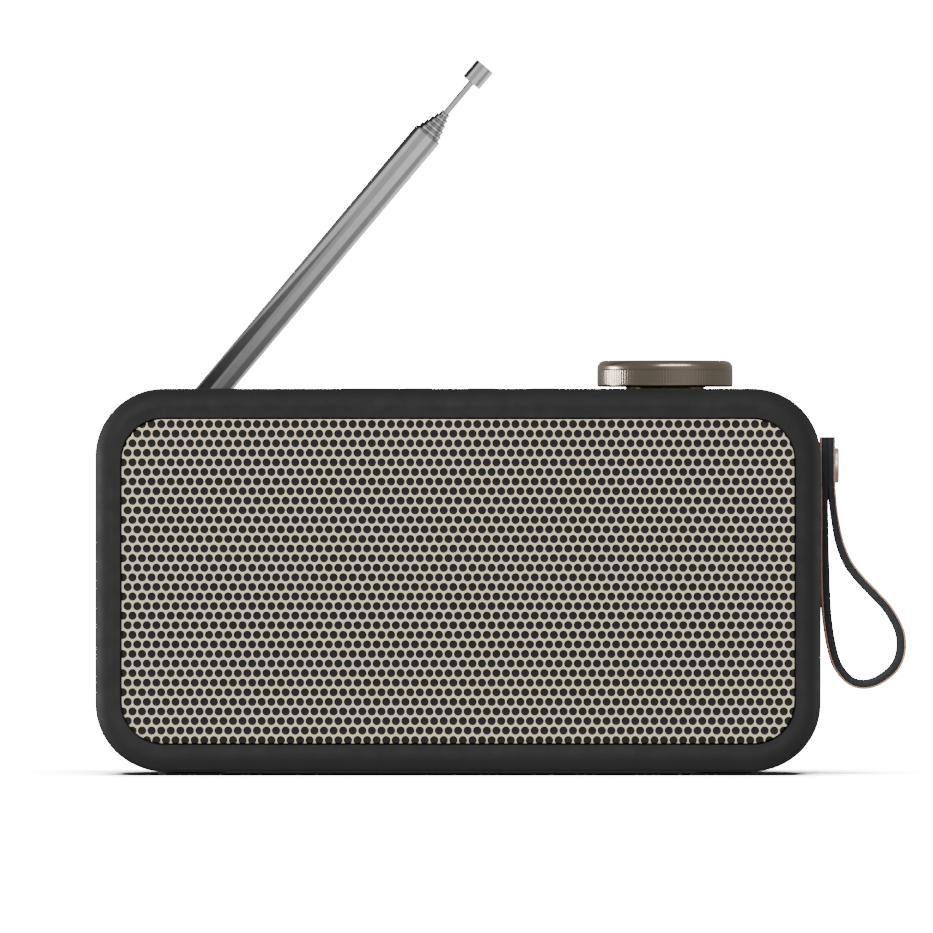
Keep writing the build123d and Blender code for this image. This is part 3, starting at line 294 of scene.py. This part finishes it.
# ---------------------------------------------------------------- mesh helpers

def add_object(name, data):
    made = bpy.data.objects.new(name, data)
    bpy.context.scene.collection.objects.link(made)
    return made


def piece(name, verts, faces, body, slot, *replaced, finish=None, crease=35):
    """A mesh object that rides on a body, stands for CAD nodes and takes a slot's material."""
    mesh = bpy.data.meshes.new(name)
    mesh.from_pydata([tuple(v) for v in verts], [], faces)
    mesh.update()
    made = add_object(name, mesh)
    shape = bmesh.new()
    shape.from_mesh(mesh)
    bmesh.ops.recalc_face_normals(shape, faces=shape.faces)
    shape.to_mesh(mesh)
    shape.free()
    mesh.shade_smooth()
    mesh.set_sharp_from_angle(angle=radians(crease))
    mesh.materials.append(finish or MATERIALS[slot])
    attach(made, body)
    if replaced:
        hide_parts(*replaced)
    return made


def rounded_profile(corners, steps=5):
    """Rounds the corners of an outline; each corner is (r, h, radius)."""
    count = len(corners)
    outline = []
    for index, (r, h, radius) in enumerate(corners):
        here = Vector((r, h))
        if radius == 0:
            outline.append(here)
            continue
        before = (Vector(corners[index - 1][:2]) - here).normalized()
        after = (Vector(corners[(index + 1) % count][:2]) - here).normalized()
        half = acos(max(-1.0, min(1.0, before.dot(after)))) / 2
        reach = radius / tan(half)
        centre = here + (before + after).normalized() * (radius / sin(half))
        start = here + before * reach - centre
        turn = start.angle_signed(here + after * reach - centre)
        for step in range(steps + 1):
            angle = -turn * step / steps
            outline.append(centre + Matrix.Rotation(angle, 2) @ start)
    return [tuple(point) for point in outline]


def axis_frame(direction):
    """Two unit vectors square to a direction."""
    along = Vector(direction).normalized()
    side = along.cross(Vector((0, 1, 0)))
    if side.length < 0.1:
        side = along.cross(Vector((1, 0, 0)))
    side.normalize()
    return along, side, along.cross(side)


def lathe(outline, origin, direction, segments, radius_at=None):
    """Turns a closed outline of (radius, height) about an axis; radius_at may shape each column."""
    along, side, other = axis_frame(direction)
    origin = Vector(origin)
    verts = []
    rings = []
    for r, h in outline:
        if r < 1e-9:
            verts.append(origin + along * h)
            rings.append([len(verts) - 1] * segments)
            continue
        ring = []
        for column in range(segments):
            angle = 2 * pi * column / segments
            radius = radius_at(r, h, column) if radius_at else r
            verts.append(origin + along * h + (side * cos(angle) + other * sin(angle)) * radius)
            ring.append(len(verts) - 1)
        rings.append(ring)
    faces = []
    for first, second in zip(rings, rings[1:] + rings[:1]):
        for column in range(segments):
            after = (column + 1) % segments
            face = [first[column], first[after], second[after], second[column]]
            face = list(dict.fromkeys(face))
            if len(face) > 2:
                faces.append(face)
    return verts, faces


def rounded_rectangle(width, height, radius, steps, z_middle):
    """Points of a rounded rectangle seen from the front, as (x, z), with its middle at x = 0."""
    points = []
    for quarter, (sx, sz) in enumerate(((1, 1), (-1, 1), (-1, -1), (1, -1))):
        cx = sx * (width / 2 - radius)
        cz = z_middle + sz * (height / 2 - radius)
        for step in range(steps + 1):
            angle = pi / 2 * (quarter + step / steps)
            points.append((cx + radius * cos(angle), cz + radius * sin(angle)))
    return points


# ---------------------------------------------------------------- grille

def make_grille():
    """The perforated sheet: a flat triangulation round every hole, with a rolled outer edge."""
    low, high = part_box("grille")
    width = high[0] - low[0]
    height = high[2] - low[2]
    middle = (low[2] + high[2]) / 2
    corner = 11.1 * MM
    pitch = 2.545 * MM
    hole = 1.125 * MM
    rows = 34
    per_row = 71
    top_row = high[2] - 1.32 * MM
    sides = 18
    corner_steps = 10
    tolerance = 1e-6
    # distance in from the sheet's outline, and how far the front lies back there
    lips = ((0.0, 0.28 * MM), (0.10 * MM, 0.10 * MM), (0.30 * MM, 0.0))

    def inside_by(x, z):
        """How far a point is inside the sheet's outline."""
        dx = abs(x) - (width / 2 - corner)
        dz = abs(z - middle) - (height / 2 - corner)
        return corner - hypot(max(dx, 0), max(dz, 0)) - min(max(dx, dz), 0)

    points = []
    loops = []
    for inset, _ in lips:
        outline = rounded_rectangle(
            width - 2 * inset, height - 2 * inset, corner - inset, corner_steps, middle)
        loops.append(list(range(len(points), len(points) + len(outline))))
        points += outline
    for row in range(rows):
        count = per_row - row % 2
        for column in range(count):
            x = (column - (count - 1) / 2) * pitch
            z = top_row - row * pitch
            if inside_by(x, z) < -hole:
                continue
            loops.append(list(range(len(points), len(points) + sides)))
            for side in range(sides):
                angle = 2 * pi * (side + 0.5) / sides
                points.append((x + hole * cos(angle), z + hole * sin(angle)))
    flat, _, triangles, _, _, sources = delaunay_2d_cdt(
        [Vector(p) * MM_PER_METRE for p in points], [], loops, 1, tolerance, True)
    kept = [t for t, source in zip(triangles, sources) if 0 in source and max(source) < len(lips)]
    used = sorted({v for t in kept for v in t})
    place = {v: i for i, v in enumerate(used)}

    def dip(x, z):
        """How far the front is rolled back near the outer edge."""
        inset = inside_by(x, z)
        for (near, near_dip), (far, far_dip) in zip(lips, lips[1:]):
            if inset < far:
                share = max(0.0, (inset - near) / (far - near))
                return near_dip + (far_dip - near_dip) * share
        return 0.0

    front = []
    back = []
    for v in used:
        x = flat[v].x / MM_PER_METRE
        z = flat[v].y / MM_PER_METRE
        front.append((x, low[1] + dip(x, z), z))
        back.append((x, high[1], z))
    verts = front + back
    offset = len(front)
    faces = [[place[v] for v in t] for t in kept]
    edges = dict.fromkeys((a, b) for t in faces for a, b in zip(t, t[1:] + t[:1]))
    rim = [(a, b) for a, b in edges if (b, a) not in edges]
    faces += [[v + offset for v in reversed(t)] for t in faces]
    faces += [[b, a, a + offset, b + offset] for a, b in rim]
    piece("perforated_grille", verts, faces, "cabinet", "grille_paint", "grille", crease=40)


make_grille()


# ---------------------------------------------------------------- knob

def make_knob():
    low, high = (Vector(corner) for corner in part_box("knob"))
    radius = (high.x - low.x) / 2
    height = high.z - low.z + 0.2 * MM
    crown = 0.12 * MM
    shoulder = 0.09 * MM
    ribs = 140
    columns_per_rib = 4
    groove = 0.07 * MM
    ribs_from = 0.65 * MM
    ribs_to = 4.6 * MM
    run_out = 0.12 * MM
    past_ribs = 0.001 * MM
    waist = 2.6 * MM
    skirt_inner = 11.5 * MM
    skirt_recess = 1.5 * MM
    boss_radius = 6.8 * MM
    boss_recess = 2.6 * MM
    outline = rounded_profile([
        (0, height + crown, 0),
        (radius * 0.5, height + shoulder, 0),
        (radius, height, 2.1 * MM),
        (radius, ribs_to + past_ribs, 0),
        (radius, ribs_to - run_out, 0),
        (radius, ribs_to - 1.5 * run_out, 0),
        (radius, waist, 0),
        (radius, ribs_from + 1.5 * run_out, 0),
        (radius, ribs_from + run_out, 0),
        (radius, ribs_from - past_ribs, 0),
        (radius, 0, 0.55 * MM),
        (skirt_inner, 0, 0.15 * MM),
        (skirt_inner, skirt_recess, 0),
        (boss_radius, skirt_recess, 0),
        (boss_radius, boss_recess, 0),
        (0, boss_recess, 0),
    ], 8)
    # share of the groove's depth at each column of a rib
    pattern = (0.0, 0.62, 1.0, 0.62)

    def knurled(r, h, column):
        if r < radius - 0.0001 * MM or not ribs_from < h < ribs_to:
            return r
        return r - groove * pattern[column % columns_per_rib]

    foot = (knob_centre.x, knob_centre.y, low.z)
    verts, faces = lathe(outline, foot, (0, 0, 1), ribs * columns_per_rib, knurled)
    piece("knurled_knob", verts, faces, "knob_spindle", "knob_aluminium", "knob", crease=50)


make_knob()


# ---------------------------------------------------------------- antenna

PIVOT = Vector(JOINTS["antenna_tilt"]["pos_m"])
AIM = Vector(JOINTS["antenna_slide_2"]["axis"]).normalized()
TUBE_COUNT = 6
TUBES = [f"antenna_tube_{number}" for number in range(1, TUBE_COUNT + 1)]
TUBE_BODIES = ["antenna_arm"] + [f"antenna_stage_{number}" for number in range(2, TUBE_COUNT + 1)]


def span_along(name):
    """Start, end and greatest radius of a node about the antenna's centre line."""
    reach = []
    spread = []
    for vertex in frame["nodes"][name].data.vertices:
        offset = vertex.co - PIVOT
        along = offset.dot(AIM)
        reach.append(along)
        spread.append((offset - AIM * along).length)
    return min(reach), max(reach), max(spread)


def tube_outline(start, end, radius):
    """A thin tube with a fine groove near its end and a rounded lip that closes on the next tube."""
    inner = radius - 0.35 * MM
    neck = inner - 0.08 * MM
    lip = min(0.22 * MM, radius * 0.15)
    groove = end - 0.54 * MM
    groove_half = 0.08 * MM
    groove_depth = 0.09 * MM
    return rounded_profile([
        (inner, start, 0),
        (radius, start, 0.08 * MM),
        (radius, groove - groove_half, 0),
        (radius - groove_depth, groove, 0),
        (radius, groove + groove_half, 0),
        (radius, end, lip),
        (neck, end, 0.04 * MM),
        (neck, end - 0.6 * MM, 0),
        (inner, end - 0.7 * MM, 0),
    ])


def solid_outline(start, end, radius, rounding):
    return rounded_profile([(0, start, 0), (radius, start, rounding), (radius, end, rounding), (0, end, 0)])


def make_antenna():
    for name, body in zip(TUBES, TUBE_BODIES):
        verts, faces = lathe(tube_outline(*span_along(name)), PIVOT, AIM, 96)
        piece(name + "_polished", verts, faces, body, "chrome", name)
    for name, rounding, segments in (("antenna_rod", 0.2 * MM, 48), ("antenna_tip", 0.16 * MM, 96)):
        verts, faces = lathe(solid_outline(*span_along(name), rounding), PIVOT, AIM, segments)
        piece(name + "_polished", verts, faces, "antenna_stage_7", "chrome", name)


make_antenna()


# ---------------------------------------------------------------- strap

SIDE_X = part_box("housing")[1][0]
STRAP_THICKNESS = 2.04 * MM
STRAP_HALF_WIDTH = 6.0 * MM
# how much fuller the free loop is than the plies under the screw, the height where it starts to
# swell and the height over which it does
LOOP_SWELL = 1.22
SWELL_FROM = 68 * MM
SWELL_OVER = 14 * MM
# distance out from the cabinet's side and height, in millimetres, of the middle of the leather
STRAP_ROUTE = [
    (1.075, 90.15), (1.075, 86), (1.075, 82.5), (1.11, 78), (1.2, 74), (1.27, 67), (1.3, 60),
    (1.5, 50), (2.0, 41.5), (3.15, 34.3), (4.85, 28.95), (8.35, 24.95), (12.4, 24.05), (16.45, 25.5),
    (20.1, 28.7), (21.75, 33), (21.4, 38.2), (18.5, 43.8), (14.8, 48), (10.7, 52.3), (7.5, 56.6),
    (5.35, 62), (4.15, 68), (3.5, 73), (3.17, 77.5), (3.1, 81), (3.1, 84), (3.1, 90.15),
]


def smooth_route(points, steps):
    """A Catmull-Rom curve through the points."""
    padded = [points[0] * 2 - points[1]] + points + [points[-1] * 2 - points[-2]]
    curve = []
    for a, b, c, d in zip(padded, padded[1:], padded[2:], padded[3:]):
        for step in range(steps):
            t = step / steps
            curve.append(0.5 * (2 * b + (c - a) * t + (2 * a - 5 * b + 4 * c - d) * t * t
                                + (3 * b - a - 3 * c + d) * t ** 3))
    curve.append(points[-1])
    return curve


def strip(route, section, swell):
    """Sweeps a closed section of (outward, depth) along a route in the X-Z plane."""
    verts = []
    size = len(section)
    for index, here in enumerate(route):
        before = route[max(index - 1, 0)]
        after = route[min(index + 1, len(route) - 1)]
        run = (after - before).normalized()
        outward = Vector((run.y, -run.x))
        for out, depth in section:
            point = here + outward * (out * swell(here.y))
            verts.append((point.x, depth, point.y))
    faces = []
    for index in range(len(route) - 1):
        for k in range(size):
            a = index * size + k
            b = index * size + (k + 1) % size
            faces.append([a, b, b + size, a + size])
    faces.append(list(range(size)))
    faces.append([len(verts) - size + k for k in reversed(range(size))])
    return verts, faces


def loop_swell(height):
    free = min(1.0, max(0.0, (SWELL_FROM - height) / SWELL_OVER))
    return 1 + (LOOP_SWELL - 1) * free


def make_strap():
    """A dark core with a tan outer face, swept along the loop."""
    route = smooth_route([Vector((SIDE_X + x * MM, z * MM)) for x, z in STRAP_ROUTE], 8)
    outer = STRAP_THICKNESS / 2
    seam = outer - 0.44 * MM
    wide = STRAP_HALF_WIDTH
    face_wide = wide - 0.05 * MM
    core = rounded_profile([
        (-outer, -wide, 0.12 * MM), (seam, -wide, 0.2 * MM),
        (seam, wide, 0.2 * MM), (-outer, wide, 0.12 * MM)], 4)
    verts, faces = strip(route, core, loop_swell)
    piece("strap_core", verts, faces, "strap", "leather", "carry_strap", crease=60)
    face = rounded_profile([
        (seam, -face_wide, 0), (outer, -face_wide, 0.2 * MM),
        (outer, face_wide, 0.2 * MM), (seam, face_wide, 0)], 4)
    verts, faces = strip(route, face, loop_swell)
    piece("strap_face", verts, faces, "strap", "leather", finish=TAN_LEATHER, crease=60)


make_strap()


def make_strap_screw():
    low, high = (Vector(corner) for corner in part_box("strap_screw"))
    radius = (high.z - low.z) / 2
    shank = 1.95 * MM
    length = high.x - low.x + 0.06 * MM
    head_from = length - 1.15 * MM
    outline = rounded_profile([
        (0, length, 0),
        (radius * 0.6, length - 0.03 * MM, 0),
        (radius, length - 0.1 * MM, 0.45 * MM),
        (radius, head_from, 0.1 * MM),
        (shank, head_from, 0),
        (shank, 0, 0),
        (0, 0, 0),
    ])
    verts, faces = lathe(outline, (low.x, 0, (low.z + high.z) / 2), (1, 0, 0), 96)
    piece("strap_screw_domed", verts, faces, "cabinet", "steel", "strap_screw",
          finish=ROSE_NICKEL, crease=60)


make_strap_screw()


# ---------------------------------------------------------------- floor and lamps

FLOOR_RADIUS = 2.2
FLOOR_TONE = 0.06
# the painted shadow under the radio, a dark patch in the floor's colour: its half sizes, its middle and how far it
# fades out
PAINTED_SHADOW_HALF = (0.0895, 0.043, 1.0)
PAINTED_SHADOW_MIDDLE = (0.0, 0.017, 0.0)
PAINTED_SHADOW_REACH = 0.1
# distance out from the painted shadow as a share of its reach, and the floor's tone there
PAINTED_SHADOW_STOPS = (
    (0.0, 0.004), (0.025, 0.013), (0.05, 0.043), (0.10, 0.105),
    (0.2, 0.25), (0.3, 0.42), (0.55, 0.7), (0.9, 1.0),
)


def only_seen_by(thing, ray_kind):
    """Hides a stage object from every kind of ray but one."""
    for ray in ("camera", "diffuse", "glossy", "transmission", "volume_scatter", "shadow"):
        setattr(thing, "visible_" + ray, ray == ray_kind)


def lights_only(light, *things):
    """Limits a lamp or a glowing object to some pieces."""
    wanted = bpy.data.collections.new(light.name + "_receivers")
    bpy.context.scene.collection.children.link(wanted)
    for thing in things:
        wanted.objects.link(thing)
    light.light_linking.receiver_collection = wanted


def painted_contact_shadow(made):
    """A floor whose tone falls off softly towards the radio: a shadow painted into its colour round and under the
    radio.
    """
    place = node(made, "ShaderNodeTexCoord").outputs["Object"]
    place = vector_step(made, "SUBTRACT", place, PAINTED_SHADOW_MIDDLE)
    place = vector_step(made, "ABSOLUTE", place)
    place = vector_step(made, "SUBTRACT", place, PAINTED_SHADOW_HALF)
    place = vector_step(made, "MAXIMUM", place, (0, 0, 0))
    away = times(made, vector_step(made, "LENGTH", place), 1 / PAINTED_SHADOW_REACH)
    ramp(made, away, [(at, FLOOR_TONE * share) for at, share in PAINTED_SHADOW_STOPS], "Base Color")


def make_floor():
    """The floor, which only the camera sees, and the sun that lights it alone."""
    mesh = bpy.data.meshes.new("floor")
    shape = bmesh.new()
    bmesh.ops.create_circle(shape, cap_ends=True, segments=64, radius=FLOOR_RADIUS)
    shape.to_mesh(mesh)
    shape.free()
    mesh.shade_smooth()
    finish = material("floor", Roughness=0.9)
    # paints the radio's shadow into the floor's colour
    painted_contact_shadow(finish)
    mesh.materials.append(finish)
    made = add_object("floor", mesh)
    only_seen_by(made, "camera")
    sun = bpy.data.lights.new("floor_sun", "SUN")
    sun.energy = 1500
    sun.angle = radians(40)
    floor_sun = add_object("floor_sun", sun)
    floor_sun.rotation_euler = (radians(36), 0, radians(-3))
    lights_only(floor_sun, made)
    return made


def area_light(name, place, aim, size, power):
    lamp = bpy.data.lights.new(name, "AREA")
    lamp.shape = "RECTANGLE"
    lamp.size, lamp.size_y = size
    lamp.energy = power
    made = add_object(name, lamp)
    made.location = place
    made.rotation_mode = "QUATERNION"
    made.rotation_quaternion = (Vector(aim) - Vector(place)).to_track_quat("-Z", "Y")
    return made


floor = make_floor()
visible = [thing for thing in bpy.data.objects if thing.type == "MESH" and thing is not floor]
antenna = [thing for thing in visible if thing.name.startswith("antenna")]
knob = [bpy.data.objects["knurled_knob"]]
shell = [bpy.data.objects[name] for name in ("housing", "rear_cover", "rubber_feet")]
rest = [thing for thing in visible if thing not in antenna + knob]
# name, place, aim, size, power in watts and the pieces that the lamp lights
LAMPS = (
    ("front", (-0.5, -1.9, 0.7), (0, 0, 0.05), (1.2, 1.0), 44, rest),
    ("left_panel", (-1.0, 0.15, 0.10), (0, 0, 0.08), (0.7, 0.5), 10, rest),
    ("right_panel", (1.0, 0.2, 0.10), (0, 0, 0.08), (0.7, 0.5), 3.5, rest),
    ("overhead", (0.25, -0.45, 1.1), (0, 0, 0.05), (0.5, 0.35), 3, rest),
    ("floor_bounce", (0, -0.075, 0.0005), (0, -0.075, 1), (0.3, 0.1), 0.05, shell),
    ("knob_strip", (-0.9, 0.15, 0.14), knob_centre, (0.3, 0.3), 11, knob),
    ("knob_top_strip", (0.30, -0.75, 0.85), knob_centre, (0.8, 0.16), 9, knob),
)
for *lamp_settings, lit in LAMPS:
    lights_only(area_light(*lamp_settings), *lit)


# ---------------------------------------------------------------- what the chrome mirrors

# bands of light and dark round the antenna at rest, laid out for a viewer in front: place across the
# tube at the foot and at the end (-1 upper left, 1 lower right), half width at each, brightness at each
BANDS = (
    (0.16, 0.22, 0.14, 0.20, 0.10, 0.92),
    (-0.62, -0.60, 0.10, 0.10, 0.30, 0.85),
    (0.60, 0.58, 0.20, 0.06, 0.08, 0.38),
    (-0.65, -0.15, 0.39, -0.23, 0.01, 0.33),
    (-0.98, -0.86, 0.03, 0.10, 0.35, 0.05),
    (0.98, 0.96, 0.07, 0.12, 0.60, 1.10),
)
BAND_EDGE = 0.10
BAND_END = 0.1
# brightness between the bands, at the foot and at the end
TENT_LEVELS = (0.22, 0.52)
TENT_RADIUS = 0.006
TENT_COLUMNS = 160
# rows of the sleeve along the antenna: first place, step and count, finer where the tubes end
TENT_ROWS = (
    (0.0, 4 * MM, 24),
    (97 * MM, 0.25 * MM, 60),
    (112 * MM, 4 * MM, 5),
)
# the sleeve is darker this near to a tube's end
RIM_REACH = 0.3 * MM
RIM_SHARE = 0.2


def between(start, end, share):
    return start + (end - start) * share


def band_level(across, share):
    """The sleeve's brightness at a place across the tube and a share of the way to the bands' end."""
    level = between(*TENT_LEVELS, share)
    for foot, end, foot_half, end_half, foot_level, end_level in BANDS:
        outside = abs(across - between(foot, end, share)) - between(foot_half, end_half, share)
        near = max(0.0, min(1.0, (BAND_EDGE - outside) / BAND_EDGE))
        near = near * near * (3 - 2 * near)
        level = between(level, between(foot_level, end_level, share), near)
    return level


def glowing(name, attribute):
    """A material that only glows, as brightly as an attribute of the mesh says."""
    made = bpy.data.materials.new(name)
    made.use_nodes = True
    made.node_tree.nodes.clear()
    light = node(made, "ShaderNodeEmission", Color=(1, 1, 1, 1))
    strength = node(made, "ShaderNodeAttribute")
    strength.attribute_name = attribute
    link(made, strength.outputs["Fac"], light.inputs["Strength"])
    out = node(made, "ShaderNodeOutputMaterial")
    link(made, light.outputs["Emission"], out.inputs["Surface"])
    return made


def make_tent():
    """A glowing sleeve that only glossy rays meet and that lights the antenna alone."""
    across_tube = Vector((AIM.z, 0, -AIM.x))
    tube_radius = span_along(TUBES[0])[2]
    ends = [span_along(name)[1] for name in TUBES]
    stations = [first + step * row for first, step, count in TENT_ROWS for row in range(count)]

    def facing(angle):
        return Vector((0, -cos(angle), 0)) + across_tube * sin(angle)

    verts = []
    glow = []
    for station in stations:
        share = min(1.0, station / BAND_END)
        rim = RIM_SHARE if any(abs(station - end) < RIM_REACH for end in ends) else 1.0
        for column in range(TENT_COLUMNS + 1):
            turn = (column / TENT_COLUMNS - 0.5) * pi
            across = sin(turn)
            # a column stands where a ray from the front goes after meeting the tube at this turn
            flight = sqrt(TENT_RADIUS ** 2 - (tube_radius * across) ** 2) - tube_radius * cos(turn)
            verts.append(PIVOT + AIM * station + facing(turn) * tube_radius + facing(2 * turn) * flight)
            glow.append(band_level(across, share) * rim)
    faces = []
    for row in range(len(stations) - 1):
        for column in range(TENT_COLUMNS):
            a = row * (TENT_COLUMNS + 1) + column
            faces.append([a, a + 1, a + TENT_COLUMNS + 2, a + TENT_COLUMNS + 1])
    mesh = bpy.data.meshes.new("antenna_tent")
    mesh.from_pydata([tuple(v) for v in verts], [], faces)
    mesh.attributes.new("glow", "FLOAT", "POINT").data.foreach_set("value", glow)
    mesh.materials.append(glowing("antenna_tent", "glow"))
    tent = add_object("antenna_tent", mesh)
    only_seen_by(tent, "glossy")
    lights_only(tent, *antenna)


make_tent()


# ---------------------------------------------------------------- surroundings

# direction, inner and outer angle of a cone of the surroundings, and the brightness inside it
WORLD_SHADES = (
    ((0, 0, -1), 60, 90, 0.22),
    ((0.5, -0.8, 0.1), 10, 45, 0.6),
)
STUDIO_LEVEL = 0.42
BACKDROP_LEVEL = 22.0


def mix_towards(made, share, level, end):
    """Goes from a linked level to a number as the linked share goes from 0 to 1."""
    mixed = node(made, "ShaderNodeMix", B=end)
    link(made, share, mixed.inputs["Factor"])
    link(made, level, mixed.inputs["A"])
    return mixed.outputs["Result"]


def world_shade(made, level, direction, inner, outer, inside):
    """Blends a brightness towards another inside a cone of directions."""
    place = node(made, "ShaderNodeTexCoord").outputs["Generated"]
    edge = node(made, "ShaderNodeMapRange", From_Min=cos(radians(outer)), From_Max=cos(radians(inner)))
    edge.interpolation_type = "SMOOTHSTEP"
    link(made, vector_step(made, "DOT_PRODUCT", place, Vector(direction).normalized()), edge.inputs["Value"])
    return mix_towards(made, edge.outputs["Result"], level, inside)


def make_world():
    """A grey studio, which the camera sees as plain white behind the radio."""
    made = bpy.data.worlds.new("studio")
    made.use_nodes = True
    bpy.context.scene.world = made
    studio = node(made, "ShaderNodeValue")
    studio.outputs["Value"].default_value = STUDIO_LEVEL
    level = studio.outputs["Value"]
    for shade in WORLD_SHADES:
        level = world_shade(made, level, *shade)
    by_camera = node(made, "ShaderNodeLightPath").outputs["Is Camera Ray"]
    background = made.node_tree.nodes["Background"]
    background.inputs["Color"].default_value = (1, 1, 1, 1)
    link(made, mix_towards(made, by_camera, level, BACKDROP_LEVEL), background.inputs["Strength"])


make_world()


# ---------------------------------------------------------------- camera

EYE_X = 0.00223
EYE_HEIGHT = 0.08222
EYE_DISTANCE = 5.5
# width that the picture takes in at the cabinet's front
SEEN_WIDTH = 0.2479
SENSOR = 36.0


def make_camera():
    made = add_object("camera", bpy.data.cameras.new("camera"))
    made.location = (EYE_X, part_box("housing")[0][1] - EYE_DISTANCE, EYE_HEIGHT)
    made.rotation_euler = (pi / 2, 0, 0)
    made.data.sensor_width = SENSOR
    made.data.lens = SENSOR * EYE_DISTANCE / SEEN_WIDTH
    made.data.clip_start = 0.1
    made.data.clip_end = 20
    bpy.context.scene.camera = made


make_camera()
